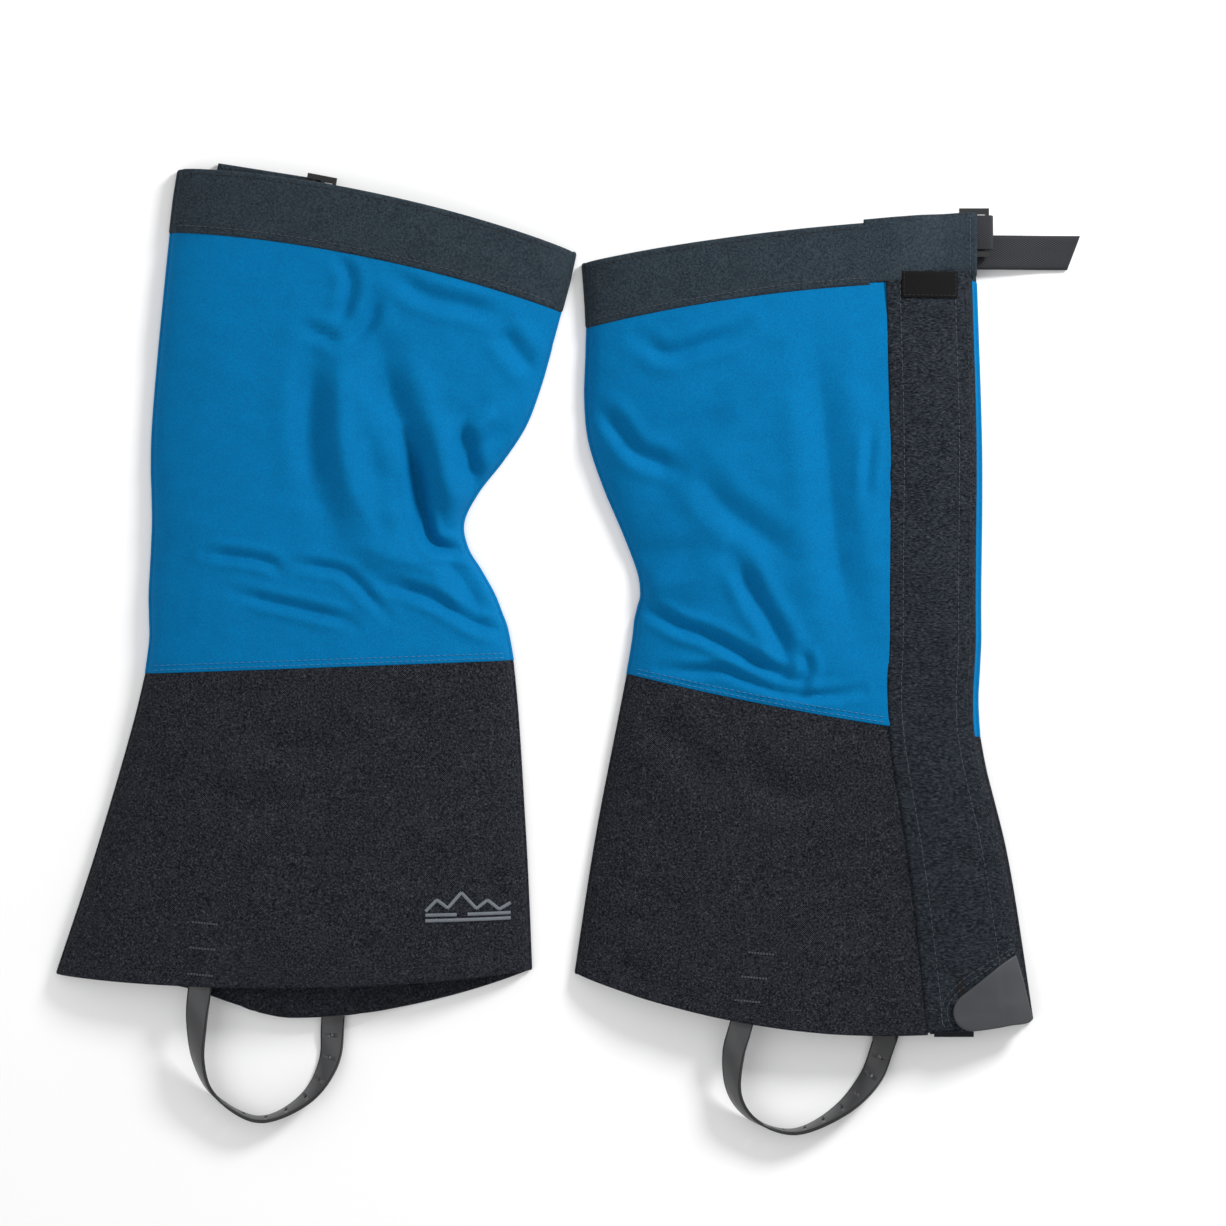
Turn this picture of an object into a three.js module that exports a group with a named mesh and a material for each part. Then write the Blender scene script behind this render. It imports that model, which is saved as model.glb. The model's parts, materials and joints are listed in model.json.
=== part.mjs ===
// A pair of front-opening hiking gaiters, lying flat side by side, as separate pieces.
// Millimetres. +X to the right, +Y from hem to cuff, +Z up from the surface they lie on.
import * as THREE from 'three'
import { mergeVertices } from 'three/addons/utils/BufferGeometryUtils.js'

// ---- driving dimensions --------------------------------------------------------------
const HEM_WIDTH = 262.5 // flattened width at the hem
const HEIGHT = 447 // hem to cuff top
const PAIR_SPACING = 27.5 // between the two hems
const CROWN = { left: 18, right: 15 } // how far the upper side stands above the folds
const FOLD_HEIGHT = 3.6 // top of the fabric at a plain fold
const CLOSURE_FOLD_HEIGHT = 7.5 // top of the fabric at the fold beside an upper-side closure
const GAP = 0.3 // between pieces that touch
const PANEL_THICKNESS = 1.0
const LOWER_THICKNESS = 1.2
const CUFF_THICKNESS = 1.6
const FLAP_WIDTH = 48
const FLAP_HEM_FLARE = 8 // the flap is this much wider at the hem
const FLAP_EDGE_INSET = 2.2 // from the free edge to the fold, upper-side closure
const FLAP_ROOT = 7 // sewn strip between the seam and the line the flap turns on
const CLOSURE_PAST_FOLD = 30 // from the fold to the seam at the cuff, lower-side closure
const CLOSURE_PAST_FOLD_AT_HEM = 50
const BUCKLE_RISE = 1.5 // the buckle's middle above the cuff's
const TAPE_THICKNESS = 0.7
const TAPE_WIDTH = 25
const TAPE_TO_FREE_EDGE = 9
const TAPE_PAST_TURN = 4 // the tapes start at least this far beyond the line the flap turns on
const WEBBING_WIDTH = 19
const WEBBING_THICKNESS = 1.2
const STRAP_TAIL = 59.4 // webbing beyond the cam buckle
const STRAP_INSIDE = 45 // webbing hidden behind the cuff end
const STRAP_OFFSET = -10.6 // the webbing lies this far below the buckle's middle
const STRAP_SLANT = 7.3 // slope of the cut end
const CUFF_END_LENGTH = 59.5
const CUFF_END_ABOVE = 10
const CUFF_END_BELOW = 0.0626 * HEIGHT
const CUFF_END_THICKNESS = 1.4
const BUCKLE_WIDTH = 27
const BUCKLE_THICKNESS = 3
const BUCKLE_CHEEK = 3
const BAR = 2
const LEVER_REACH = 7
const TAB = { length: 43, width: 38, tip: 25, thickness: 1.4 }
const PATCH_THICKNESS = 0.7
const INSTEP = { width: 12.5, thickness: 1.8, sewn: 44, steps: 30 }
const PIN_BUCKLE = { width: 22, length: 16, wire: 2.4 }
const ANCHOR = { length: 42, thickness: 1.1 }
const TIP_THICKNESS = 1.4
const TIP_LENGTH = 50
const KEEPER = { length: 6, thickness: 0.9 }
const RIVET_RADIUS = 3
const HOOK = { width: 12, length: 15, thickness: 1 }
const HOOK_TAB = { width: 22, length: 30, below: { left: -2, right: 4 } } // below the hem
const CUFF_FACING_LIFT = 1 // between the cuff's lower side and the end that carries the buckle

// Where the buckle sits on each cuff, its turn in plan, and where the instep strap leaves the
// hem. Shares run across the leg.
const BUCKLE_ROW = 6.62
const BUCKLE_ACROSS = { left: 0.36, right: 1 }
const BUCKLE_TURN = { left: -0.19, right: 0 }
const INSTEP_ACROSS = { left: 0.306, right: 0.36 }

// Rows are counted along the leg: 0 the hem, 2 the ankle seam, 6 the cuff seam, 7 the cuff's top.
const ANKLE = 2
const CUFF = 6
const TOP = 7
const SEAM = 0.004 // half the gap at a seam between rows
const LOWER_HEM_FROM = [0.2, 0.5] // the lower side's hem hangs lower from here across

// Side outlines and the rows' sag, as shares of HEM_WIDTH and HEIGHT from the hem's left corner.
const OUTLINE = {
  left: {
    leftEdge: [[0, 0], [0.096, 0.173], [0.19, 0.3745], [0.198, 0.4736],
      [0.205, 0.5638], [0.205, 0.684], [0.243, 0.9257], [0.26, 1]],
    rightEdge: [[1, 0.005], [0.987, 0.173], [0.96, 0.3908], [0.919, 0.4736],
      [0.855, 0.5638], [0.987, 0.684], [1.064, 0.828], [1.092, 0.897]],
    sag: [0.016, 0.01, 0, 0, 0, -0.008, -0.0163, -0.0174],
    innerHemSag: 0.056,
  },
  right: {
    leftEdge: [[0, 0], [0.0446, 0.1705], [0.111, 0.3734], [0.128, 0.441],
      [0.134, 0.501], [0.03, 0.664], [0.0255, 0.808], [0.017, 0.883]],
    rightEdge: [[0.9615, -0.0577], [0.91, 0.137], [0.849, 0.2944], [0.851, 0.411],
      [0.851, 0.476], [0.853, 0.6515], [0.842, 0.862], [0.84, 0.937]],
    sag: [0.039, 0.02, 0.0067, 0.003, 0, -0.006, -0.0139, -0.009],
    innerHemSag: 0.028,
  },
}

// ---- colours -------------------------------------------------------------------------
const finish = (color, roughness, metalness = 0) => ({ color, roughness, metalness })
const BLUE = finish(0x0073b4, 0.75)
const BLACK_CANVAS = finish(0x24252b, 0.9)
const SLATE = finish(0x32383f, 0.85)
const WEBBING = finish(0x16171a, 0.8)
const RUBBER = finish(0x44464c, 0.5)
const COATED = finish(0x5c5d60, 0.55)
const PLASTIC = finish(0x0d0d0f, 0.4)
const STEEL = finish(0xb9bbbe, 0.3, 1)

// ---- solids --------------------------------------------------------------------------
const lerp = THREE.MathUtils.lerp
const clamp = THREE.MathUtils.clamp

function outward(geometry) {
  // Turns the faces of a closed mesh so that they point out.
  const p = geometry.attributes.position
  const index = geometry.index.array
  const a = new THREE.Vector3()
  const b = new THREE.Vector3()
  const c = new THREE.Vector3()
  let volume = 0
  for (let i = 0; i < index.length; i += 3) {
    a.fromBufferAttribute(p, index[i])
    b.fromBufferAttribute(p, index[i + 1])
    c.fromBufferAttribute(p, index[i + 2])
    volume += a.dot(b.cross(c))
  }
  if (volume < 0) geometry.index.array.reverse()
  return geometry
}

function indexed(points, faces) {
  const geometry = new THREE.BufferGeometry()
  geometry.setAttribute('position', new THREE.Float32BufferAttribute(points.flat(), 3))
  geometry.setIndex(faces.flat())
  return outward(geometry)
}

// A closed solid between two height fields over a grid. plan(a, b) gives [x, y], and top and
// bottom give heights, each for a and b from 0 to 1.
function layer({ across, along, plan, top, bottom }) {
  const points = []
  for (const height of [top, bottom]) {
    for (let j = 0; j <= along; j++) {
      for (let i = 0; i <= across; i++) {
        const [a, b] = [i / across, j / along]
        const [x, y] = plan(a, b)
        points.push([x, y, height(a, b, x, y)])
      }
    }
  }
  const row = across + 1
  const lower = row * (along + 1)
  const faces = []
  const quad = (a, b, c, d) => faces.push([a, b, c], [a, c, d])
  for (let j = 0; j < along; j++) {
    for (let i = 0; i < across; i++) {
      const n = j * row + i
      quad(n, n + 1, n + row + 1, n + row)
      quad(lower + n, lower + n + row, lower + n + row + 1, lower + n + 1)
    }
  }
  for (let i = 0; i < across; i++) {
    const far = along * row + i
    quad(i, lower + i, lower + i + 1, i + 1)
    quad(far, far + 1, lower + far + 1, lower + far)
  }
  for (let j = 0; j < along; j++) {
    const n = j * row
    const end = n + across
    quad(n, n + row, lower + n + row, lower + n)
    quad(end, lower + end, lower + end + row, end + row)
  }
  return indexed(points, faces)
}

// A flat band swept along a route: each station gives its middle, half width and half thickness.
function band(stations) {
  const points = []
  for (const { at, wide, thick } of stations) {
    for (const [s, t] of [[1, 1], [-1, 1], [-1, -1], [1, -1]]) {
      points.push(at.clone().addScaledVector(wide, s).addScaledVector(thick, t).toArray())
    }
  }
  const faces = [[0, 1, 2], [0, 2, 3]]
  const last = points.length - 4
  faces.push([last, last + 2, last + 1], [last, last + 3, last + 2])
  for (let n = 0; n < last; n += 4) {
    for (let i = 0; i < 4; i++) {
      const next = (i + 1) % 4
      faces.push([n + i, n + 4 + i, n + 4 + next], [n + i, n + 4 + next, n + next])
    }
  }
  return indexed(points, faces)
}

function extruded(outline, depth, holes = []) {
  const shape = new THREE.Shape(outline.map(([x, y]) => new THREE.Vector2(x, y)))
  for (const hole of holes) {
    shape.holes.push(new THREE.Path(hole.map(([x, y]) => new THREE.Vector2(x, y))))
  }
  return new THREE.ExtrudeGeometry(shape, { depth, bevelEnabled: false })
}

const rectangle = (x0, y0, x1, y1) => [[x0, y0], [x1, y0], [x1, y1], [x0, y1]]
const ringed = (x0, y0, x1, y1) => rectangle(x0, y0, x1, y1).reverse()

function piece(name, geometry, look) {
  const mesh = new THREE.Mesh(geometry, new THREE.MeshStandardMaterial(look))
  mesh.name = name
  return mesh
}

// A group whose origin is the point that its pieces turn or slide about.
function moving(name, pivot, ...meshes) {
  const group = new THREE.Group()
  group.name = name
  group.position.set(...pivot)
  for (const mesh of meshes) {
    mesh.geometry.translate(-pivot[0], -pivot[1], -pivot[2])
    group.add(mesh)
  }
  return group
}

// ---- the flattened leg ---------------------------------------------------------------
class Leg {
  constructor(side, corner) {
    this.side = side
    this.outline = OUTLINE[side]
    const curve = (edge) => new THREE.SplineCurve(edge.map(([x, y]) =>
      new THREE.Vector2(corner[0] + x * HEM_WIDTH, corner[1] + y * HEIGHT)))
    this.leftCurve = curve(this.outline.leftEdge)
    this.rightCurve = curve(this.outline.rightEdge)
    this.bumps = []
    this.tabBumps = []
  }

  sag(row) {
    const sags = this.outline.sag
    const at = clamp(row, 0, TOP)
    const n = Math.min(Math.floor(at), TOP - 1)
    return lerp(sags[n], sags[n + 1], at - n) * HEIGHT
  }

  // How much further the lower side sags than the upper side.
  hemDrop(u, row) {
    const drop = (this.outline.innerHemSag - this.outline.sag[0]) * HEIGHT
    return drop * clamp(1 - row, 0, 1) * THREE.MathUtils.smoothstep(u, ...LOWER_HEM_FROM)
  }

  plan(u, row, inner = false) {
    const left = this.leftCurve.getPoint(row / TOP)
    const right = this.rightCurve.getPoint(row / TOP)
    const sag = (this.sag(row) + (inner ? this.hemDrop(u, row) : 0)) * 4 * u * (1 - u)
    return [lerp(left.x, right.x, u), lerp(left.y, right.y, u) - sag]
  }

  width(row) {
    return this.leftCurve.getPoint(row / TOP).distanceTo(this.rightCurve.getPoint(row / TOP))
  }

  // Height of the upper side's outer face across the leg.
  surface(u) {
    const dome = Math.sqrt(1 - Math.min(1, Math.abs(2 * u - 1)) ** 2.6)
    const foldHeight = this.side === 'right' ? CLOSURE_FOLD_HEIGHT : FOLD_HEIGHT
    return lerp(FOLD_HEIGHT, foldHeight, clamp(u, 0, 1)) + CROWN[this.side] * dome
  }

  // The share across and the row of a point in plan.
  locate(x, y) {
    let low = 0
    let high = TOP
    let u = 0.5
    for (let n = 0; n < 40; n++) {
      const row = (low + high) / 2
      const left = this.leftCurve.getPoint(row / TOP)
      const right = this.rightCurve.getPoint(row / TOP)
      u = (x - left.x) / (right.x - left.x)
      if (this.plan(clamp(u, 0, 1), row)[1] < y) low = row
      else high = row
    }
    return [clamp(u, 0, 1), (low + high) / 2]
  }

  surfaceAt(x, y) {
    return this.surface(this.locate(x, y)[0])
  }

  // Height of the lowest layer, which a tab folded beneath it lifts.
  ground(x, y) {
    return this.raised(this.tabBumps, x, y)
  }

  // Height of the lower side's outer face, which what lies beneath it lifts.
  underside(x, y) {
    return this.ground(x, y) + this.raised(this.bumps, x, y)
  }

  raised(bumps, x, y) {
    let height = 0
    for (const { box, rise, fall } of bumps) {
      const dx = Math.max(box[0] - x, x - box[2], 0)
      const dy = Math.max(box[1] - y, y - box[3], 0)
      const share = clamp(1 - Math.hypot(dx, dy) / fall, 0, 1)
      height = Math.max(height, rise * THREE.MathUtils.smoothstep(share, 0, 1))
    }
    return height
  }
}

const fold = (a) => (1 - Math.cos(Math.PI * a)) / 2

// A panel of the upper side, from the fold at u = 0 or across to where it stops.
function upperLayer(leg, rows, stop, thickness, along) {
  return layer({
    across: 14,
    along,
    plan: (a, b) => {
      const row = lerp(rows[0], rows[1], b)
      return leg.plan(fold(a) * stop(row), row)
    },
    top: (a, b) => leg.surface(fold(a) * stop(lerp(rows[0], rows[1], b))),
    bottom: (a, b) => leg.surface(fold(a) * stop(lerp(rows[0], rows[1], b))) - thickness,
  })
}

// A panel of the lower side between two shares across.
function lowerLayer(leg, rows, start, thickness, along) {
  return layer({
    across: 14,
    along,
    plan: (a, b) => {
      const row = lerp(rows[0], rows[1], b)
      return leg.plan(lerp(start(row), 1, a), row, true)
    },
    top: (a, b, x, y) => leg.underside(x, y) + thickness,
    bottom: (a, b, x, y) => leg.underside(x, y),
  })
}

// ---- the front closure ---------------------------------------------------------------
const TAPE_STACK = 2 * TAPE_THICKNESS + 3 * GAP
const flapWidth = (row) => FLAP_WIDTH + FLAP_HEM_FLARE * clamp(1 - row / ANKLE, 0, 1)

// The closure's strips lie on the upper side of the right leg and beneath the left leg.
class Closure {
  constructor(leg) {
    this.leg = leg
    this.above = leg.side === 'right'
    const past = (row, length) => this.at(length / leg.width(row), row)
    this.seamHead = this.above ? this.at(this.seam(CUFF), CUFF) : past(CUFF, CLOSURE_PAST_FOLD)
    this.seamFoot = this.above ? this.at(this.seam(0), 0) : past(0, CLOSURE_PAST_FOLD_AT_HEM)
    this.head = [this.seamHead[0] + FLAP_ROOT, this.seamHead[1]]
    this.foot = [this.seamFoot[0] + FLAP_ROOT, this.seamFoot[1]]
    this.height = this.above ? leg.surface(this.seam(ANKLE)) : 0
  }

  at(u, row) {
    return this.leg.plan(u, row, !this.above)
  }

  seam(row) {
    const width = this.leg.width(row)
    if (this.above) return 1 - (FLAP_EDGE_INSET + flapWidth(row)) / width
    return this.crossing(this.seamHead, this.seamFoot, row)
  }

  free(row) {
    return this.seam(row) + flapWidth(row) / this.leg.width(row)
  }

  // The share across where a straight line crosses a row.
  crossing(head, foot, row) {
    const [x0, y0] = foot
    const [dx, dy] = [head[0] - x0, head[1] - y0]
    let low = 0
    let high = 1
    for (let n = 0; n < 40; n++) {
      const u = (low + high) / 2
      const [x, y] = this.at(u, row)
      if ((x - x0) * dy - (y - y0) * dx < 0) low = u
      else high = u
    }
    return low
  }

  // The line that the flap turns on.
  turn(row) {
    return this.crossing(this.head, this.foot, row)
  }

  // A strip between two shares across, from depth0 to depth1 beneath the flap's outer face.
  strip(rows, from, to, depth0, depth1, across = 4, along = 20) {
    const share = (a, b) => {
      const row = lerp(rows[0], rows[1], b)
      return [lerp(from(row), to(row), a), row]
    }
    const face = (a, b) => {
      const [u, row] = share(a, b)
      return this.above ? this.leg.surface(u) : this.leg.ground(...this.at(u, row))
    }
    const way = this.above ? -1 : 1
    return layer({
      across,
      along,
      plan: (a, b) => this.at(...share(a, b)),
      top: (a, b) => face(a, b) + way * (this.above ? depth0 : depth1),
      bottom: (a, b) => face(a, b) + way * (this.above ? depth1 : depth0),
    })
  }
}

const FLAP_ROWS = [0.03, 5.93]
const TAB_STACK = 2 * GAP + PATCH_THICKNESS + TAB.thickness

function closurePieces(leg, closure) {
  const beside = (row) => GAP / 2 / leg.width(row)
  const mm = (length, row) => length / leg.width(row)
  const tapeTo = (row) => closure.free(row) - mm(TAPE_TO_FREE_EDGE, row)
  const turn = (row) => closure.turn(row)
  const tapeFrom = (row) => Math.max(
    tapeTo(row) - mm(TAPE_WIDTH, row),
    turn(row) + mm(TAPE_PAST_TURN, row),
  )
  const root = closure.strip(FLAP_ROWS, (row) => closure.seam(row) + beside(row),
    (row) => turn(row) - beside(row), 0, PANEL_THICKNESS, 2)
  const flap = closure.strip(FLAP_ROWS, (row) => turn(row) + beside(row), (row) => closure.free(row),
    0, PANEL_THICKNESS, 5)
  const loopDepth = PANEL_THICKNESS + GAP
  const hookDepth = loopDepth + TAPE_THICKNESS + GAP
  const tapeRows = [0.35, 5.8]
  const loop = closure.strip(tapeRows, tapeFrom, tapeTo, loopDepth, loopDepth + TAPE_THICKNESS, 2)
  const hook = closure.strip(tapeRows, tapeFrom, tapeTo, hookDepth, hookDepth + TAPE_THICKNESS, 2)
  return { root, flap, loop, hook }
}

// The right leg's inner panel wraps round the front fold and lies beneath the flap.
function frontFacing(leg, closure, rows, thickness, along) {
  const depth = PANEL_THICKNESS + TAPE_STACK
  const share = (a, row) => lerp(closure.seam(row) + 1 / leg.width(row), 1, 1 - (1 - a) ** 2)
  return layer({
    across: 6,
    along,
    plan: (a, b) => {
      const row = lerp(rows[0], rows[1], b)
      return leg.plan(share(a, row), row)
    },
    top: (a, b) => leg.surface(share(a, lerp(rows[0], rows[1], b))) - depth,
    bottom: (a, b) => {
      const height = leg.surface(share(a, lerp(rows[0], rows[1], b))) - depth - thickness
      return a === 1 ? LOWER_THICKNESS + GAP : height
    },
  })
}

// The left leg's outer panel wraps round the front fold as far as the flap's seam.
function frontWrap(leg, rows, stop, thickness, along) {
  return layer({
    across: 3,
    along,
    plan: (a, b) => {
      const row = lerp(rows[0], rows[1], b)
      return leg.plan(a * stop(row), row, true)
    },
    top: (a, b, x, y) => leg.ground(x, y) + thickness,
    bottom: (a, b, x, y) => leg.ground(x, y),
  })
}

// ---- the cuff's buckle ---------------------------------------------------------------
// Levels above the layer that the buckle lies on.
const STRAP_LEVEL = GAP
const LOOP_LEVEL = STRAP_LEVEL + WEBBING_THICKNESS + GAP
const FRAME_LEVEL = LOOP_LEVEL + WEBBING_THICKNESS + GAP
const LOOP_TOP = FRAME_LEVEL + BUCKLE_THICKNESS + GAP
const SLEEVE_LEVEL = LOOP_TOP + WEBBING_THICKNESS + GAP
const BUCKLE_STACK = SLEEVE_LEVEL + CUFF_END_THICKNESS
const ANCHOR_BAR = 7.5 // outer face of the bar that the loop holds
const CHEEK_START = -9
const LEVER_PIVOT = -5
const LOOP_START = -0.5

const inside = BUCKLE_WIDTH / 2 - BUCKLE_CHEEK

function camFrame() {
  const outer = BUCKLE_WIDTH / 2
  const slotEnd = ANCHOR_BAR - BAR
  const outline = [[CHEEK_START, -outer], [ANCHOR_BAR, -outer], [ANCHOR_BAR, outer],
    [CHEEK_START, outer], [CHEEK_START, inside], [-BAR / 2, inside], [-BAR / 2, -inside],
    [CHEEK_START, -inside]]
  const slot = ringed(BAR / 2, GAP - inside, slotEnd, inside - GAP)
  return extruded(outline, BUCKLE_THICKNESS, [slot]).translate(0, 0, FRAME_LEVEL)
}

function camLever() {
  const middle = BUCKLE_THICKNESS / 2
  const profile = new THREE.Shape()
  profile.moveTo(0, middle - 0.6)
  profile.absarc(0, 0, middle, Math.PI / 2 - 0.4, -Math.PI / 2, true)
  profile.absarc(0, 0, middle, -Math.PI / 2, -Math.PI + 0.4, true)
  profile.lineTo(-LEVER_REACH, -0.6)
  profile.lineTo(-LEVER_REACH, 0.6)
  profile.closePath()
  const depth = 2 * (inside - GAP)
  const geometry = new THREE.ExtrudeGeometry(profile, { depth, bevelEnabled: false, curveSegments: 5 })
  geometry.rotateX(Math.PI / 2)
  return geometry.translate(LEVER_PIVOT, inside - GAP, FRAME_LEVEL + middle)
}

// Webbing that holds the buckle: behind the frame, round its bar and over its face.
function anchorLoop() {
  const low = LOOP_LEVEL
  const high = LOOP_TOP + WEBBING_THICKNESS
  const turn = (high - low) / 2
  const middle = (high + low) / 2
  const around = ANCHOR_BAR + GAP - (turn - WEBBING_THICKNESS) * 0.35
  const profile = new THREE.Shape()
  profile.moveTo(LOOP_START, low)
  profile.lineTo(around, low)
  profile.absellipse(around, middle, turn * 0.7, turn, -Math.PI / 2, Math.PI / 2, false, 0)
  profile.lineTo(LOOP_START, high)
  profile.lineTo(LOOP_START, high - WEBBING_THICKNESS)
  profile.lineTo(around, high - WEBBING_THICKNESS)
  const inner = turn - WEBBING_THICKNESS
  profile.absellipse(around, middle, inner * 0.7, inner, Math.PI / 2, -Math.PI / 2, true, 0)
  profile.lineTo(LOOP_START, low + WEBBING_THICKNESS)
  profile.closePath()
  const options = { depth: WEBBING_WIDTH, bevelEnabled: false, curveSegments: 6 }
  const geometry = new THREE.ExtrudeGeometry(profile, options)
  return geometry.rotateX(Math.PI / 2).translate(0, WEBBING_WIDTH / 2, 0)
}

function slidingStrap() {
  const [low, high] = [STRAP_OFFSET - WEBBING_WIDTH / 2, STRAP_OFFSET + WEBBING_WIDTH / 2]
  const outline = [[-STRAP_INSIDE, low], [STRAP_TAIL - STRAP_SLANT, low],
    [STRAP_TAIL, high], [-STRAP_INSIDE, high]]
  return extruded(outline, WEBBING_THICKNESS).translate(0, 0, STRAP_LEVEL)
}

// The cuff's doubled end, from where the cuff stops to just over the buckle.
function cuffEnd(startLevel) {
  const level = (p) => {
    const share = clamp((-p - 11) / (CUFF_END_LENGTH - 11), 0, 1)
    return lerp(BUCKLE_STACK, startLevel, share)
  }
  const along = (a) => lerp(-CUFF_END_LENGTH, 0.5, a)
  return layer({
    across: 8,
    along: 3,
    plan: (a, b) => {
      const low = lerp(-CUFF_END_BELOW, -CUFF_END_BELOW + 5.5, a)
      const high = lerp(CUFF_END_ABOVE - 2, CUFF_END_ABOVE, a)
      return [along(a), lerp(low, high, b)]
    },
    top: (a) => level(along(a)),
    bottom: (a) => level(along(a)) - CUFF_END_THICKNESS,
  })
}

// ---- the instep strap ----------------------------------------------------------------
// Each route is a list of points from the outer hem to the inner hem, relative to its start.
const ROUTE = {
  left: [[0, 0], [-2, -18], [-1.5, -42], [6, -60], [31.5, -74.5], [58, -62.5], [70.5, -42.5],
    [72.5, -20]],
  right: [[0, 0], [-4.5, -18], [-3.5, -40], [6.5, -54], [29, -61.5], [55, -50], [73, -31],
    [80, -13]],
}
const SWING_GAP = 1.5 // between the sewn end and the part that swings
const SEWN_SLANT = { left: -0.09, right: -0.29 } // sideways run for each millimetre down

function twisted(points, levels) {
  const route = new THREE.CatmullRomCurve3(points.map(([x, y]) => new THREE.Vector3(x, y, 0)))
  const stations = []
  for (let n = 0; n <= INSTEP.steps; n++) {
    const s = n / INSTEP.steps
    const at = route.getPointAt(s)
    const along = route.getTangentAt(s)
    const out = new THREE.Vector3(along.y, -along.x, 0).normalize()
    const turn = Math.PI * THREE.MathUtils.smoothstep(s, 0, 1)
    const thick = new THREE.Vector3(0, 0, Math.cos(turn)).addScaledVector(out, Math.sin(turn))
    const wide = new THREE.Vector3().crossVectors(along, thick)
    const reach = Math.abs(wide.z) * INSTEP.width / 2 + Math.abs(thick.z) * INSTEP.thickness / 2
    at.z = Math.max(levels(s), reach)
    stations.push({
      at,
      wide: wide.multiplyScalar(INSTEP.width / 2),
      thick: thick.multiplyScalar(INSTEP.thickness / 2),
    })
  }
  return stations
}

// ---- one gaiter ----------------------------------------------------------------------
const across = (start, end, half) => (a, b) => {
  // A straight strip from start to end, with its half width to each side.
  const [dx, dy] = [end[0] - start[0], end[1] - start[1]]
  const length = Math.hypot(dx, dy)
  const side = (a * 2 - 1) * half
  return [start[0] + dx * b - (dy / length) * side, start[1] + dy * b + (dx / length) * side]
}

function buckleGroup(side, place, startLevel) {
  const named = (name) => `${side}_${name}`
  const put = (geometry) => {
    const indexedGeometry = geometry.index ? geometry : withIndex(geometry)
    return outward(indexedGeometry.applyMatrix4(place))
  }
  const pivot = new THREE.Vector3(LEVER_PIVOT, 0, FRAME_LEVEL + BUCKLE_THICKNESS / 2)
  const slidePoint = new THREE.Vector3(STRAP_TAIL, STRAP_OFFSET, STRAP_LEVEL)
  return {
    fixed: [
      piece(named('cuff_end'), put(cuffEnd(startLevel)), SLATE),
      piece(named('cam_buckle_frame'), put(camFrame()), PLASTIC),
      piece(named('buckle_anchor_loop'), put(anchorLoop()), WEBBING),
    ],
    lever: moving(named('cam_lever_pivot'), pivot.applyMatrix4(place).toArray(),
      piece(named('cam_lever'), put(camLever()), PLASTIC)),
    strap: moving(named('cuff_strap_slide'), slidePoint.applyMatrix4(place).toArray(),
      piece(named('cuff_strap'), put(slidingStrap()), WEBBING)),
  }
}

function withIndex(geometry) {
  // Joins the corners that neighbouring faces share.
  geometry.deleteAttribute('normal')
  geometry.deleteAttribute('uv')
  return outward(mergeVertices(geometry))
}

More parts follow.
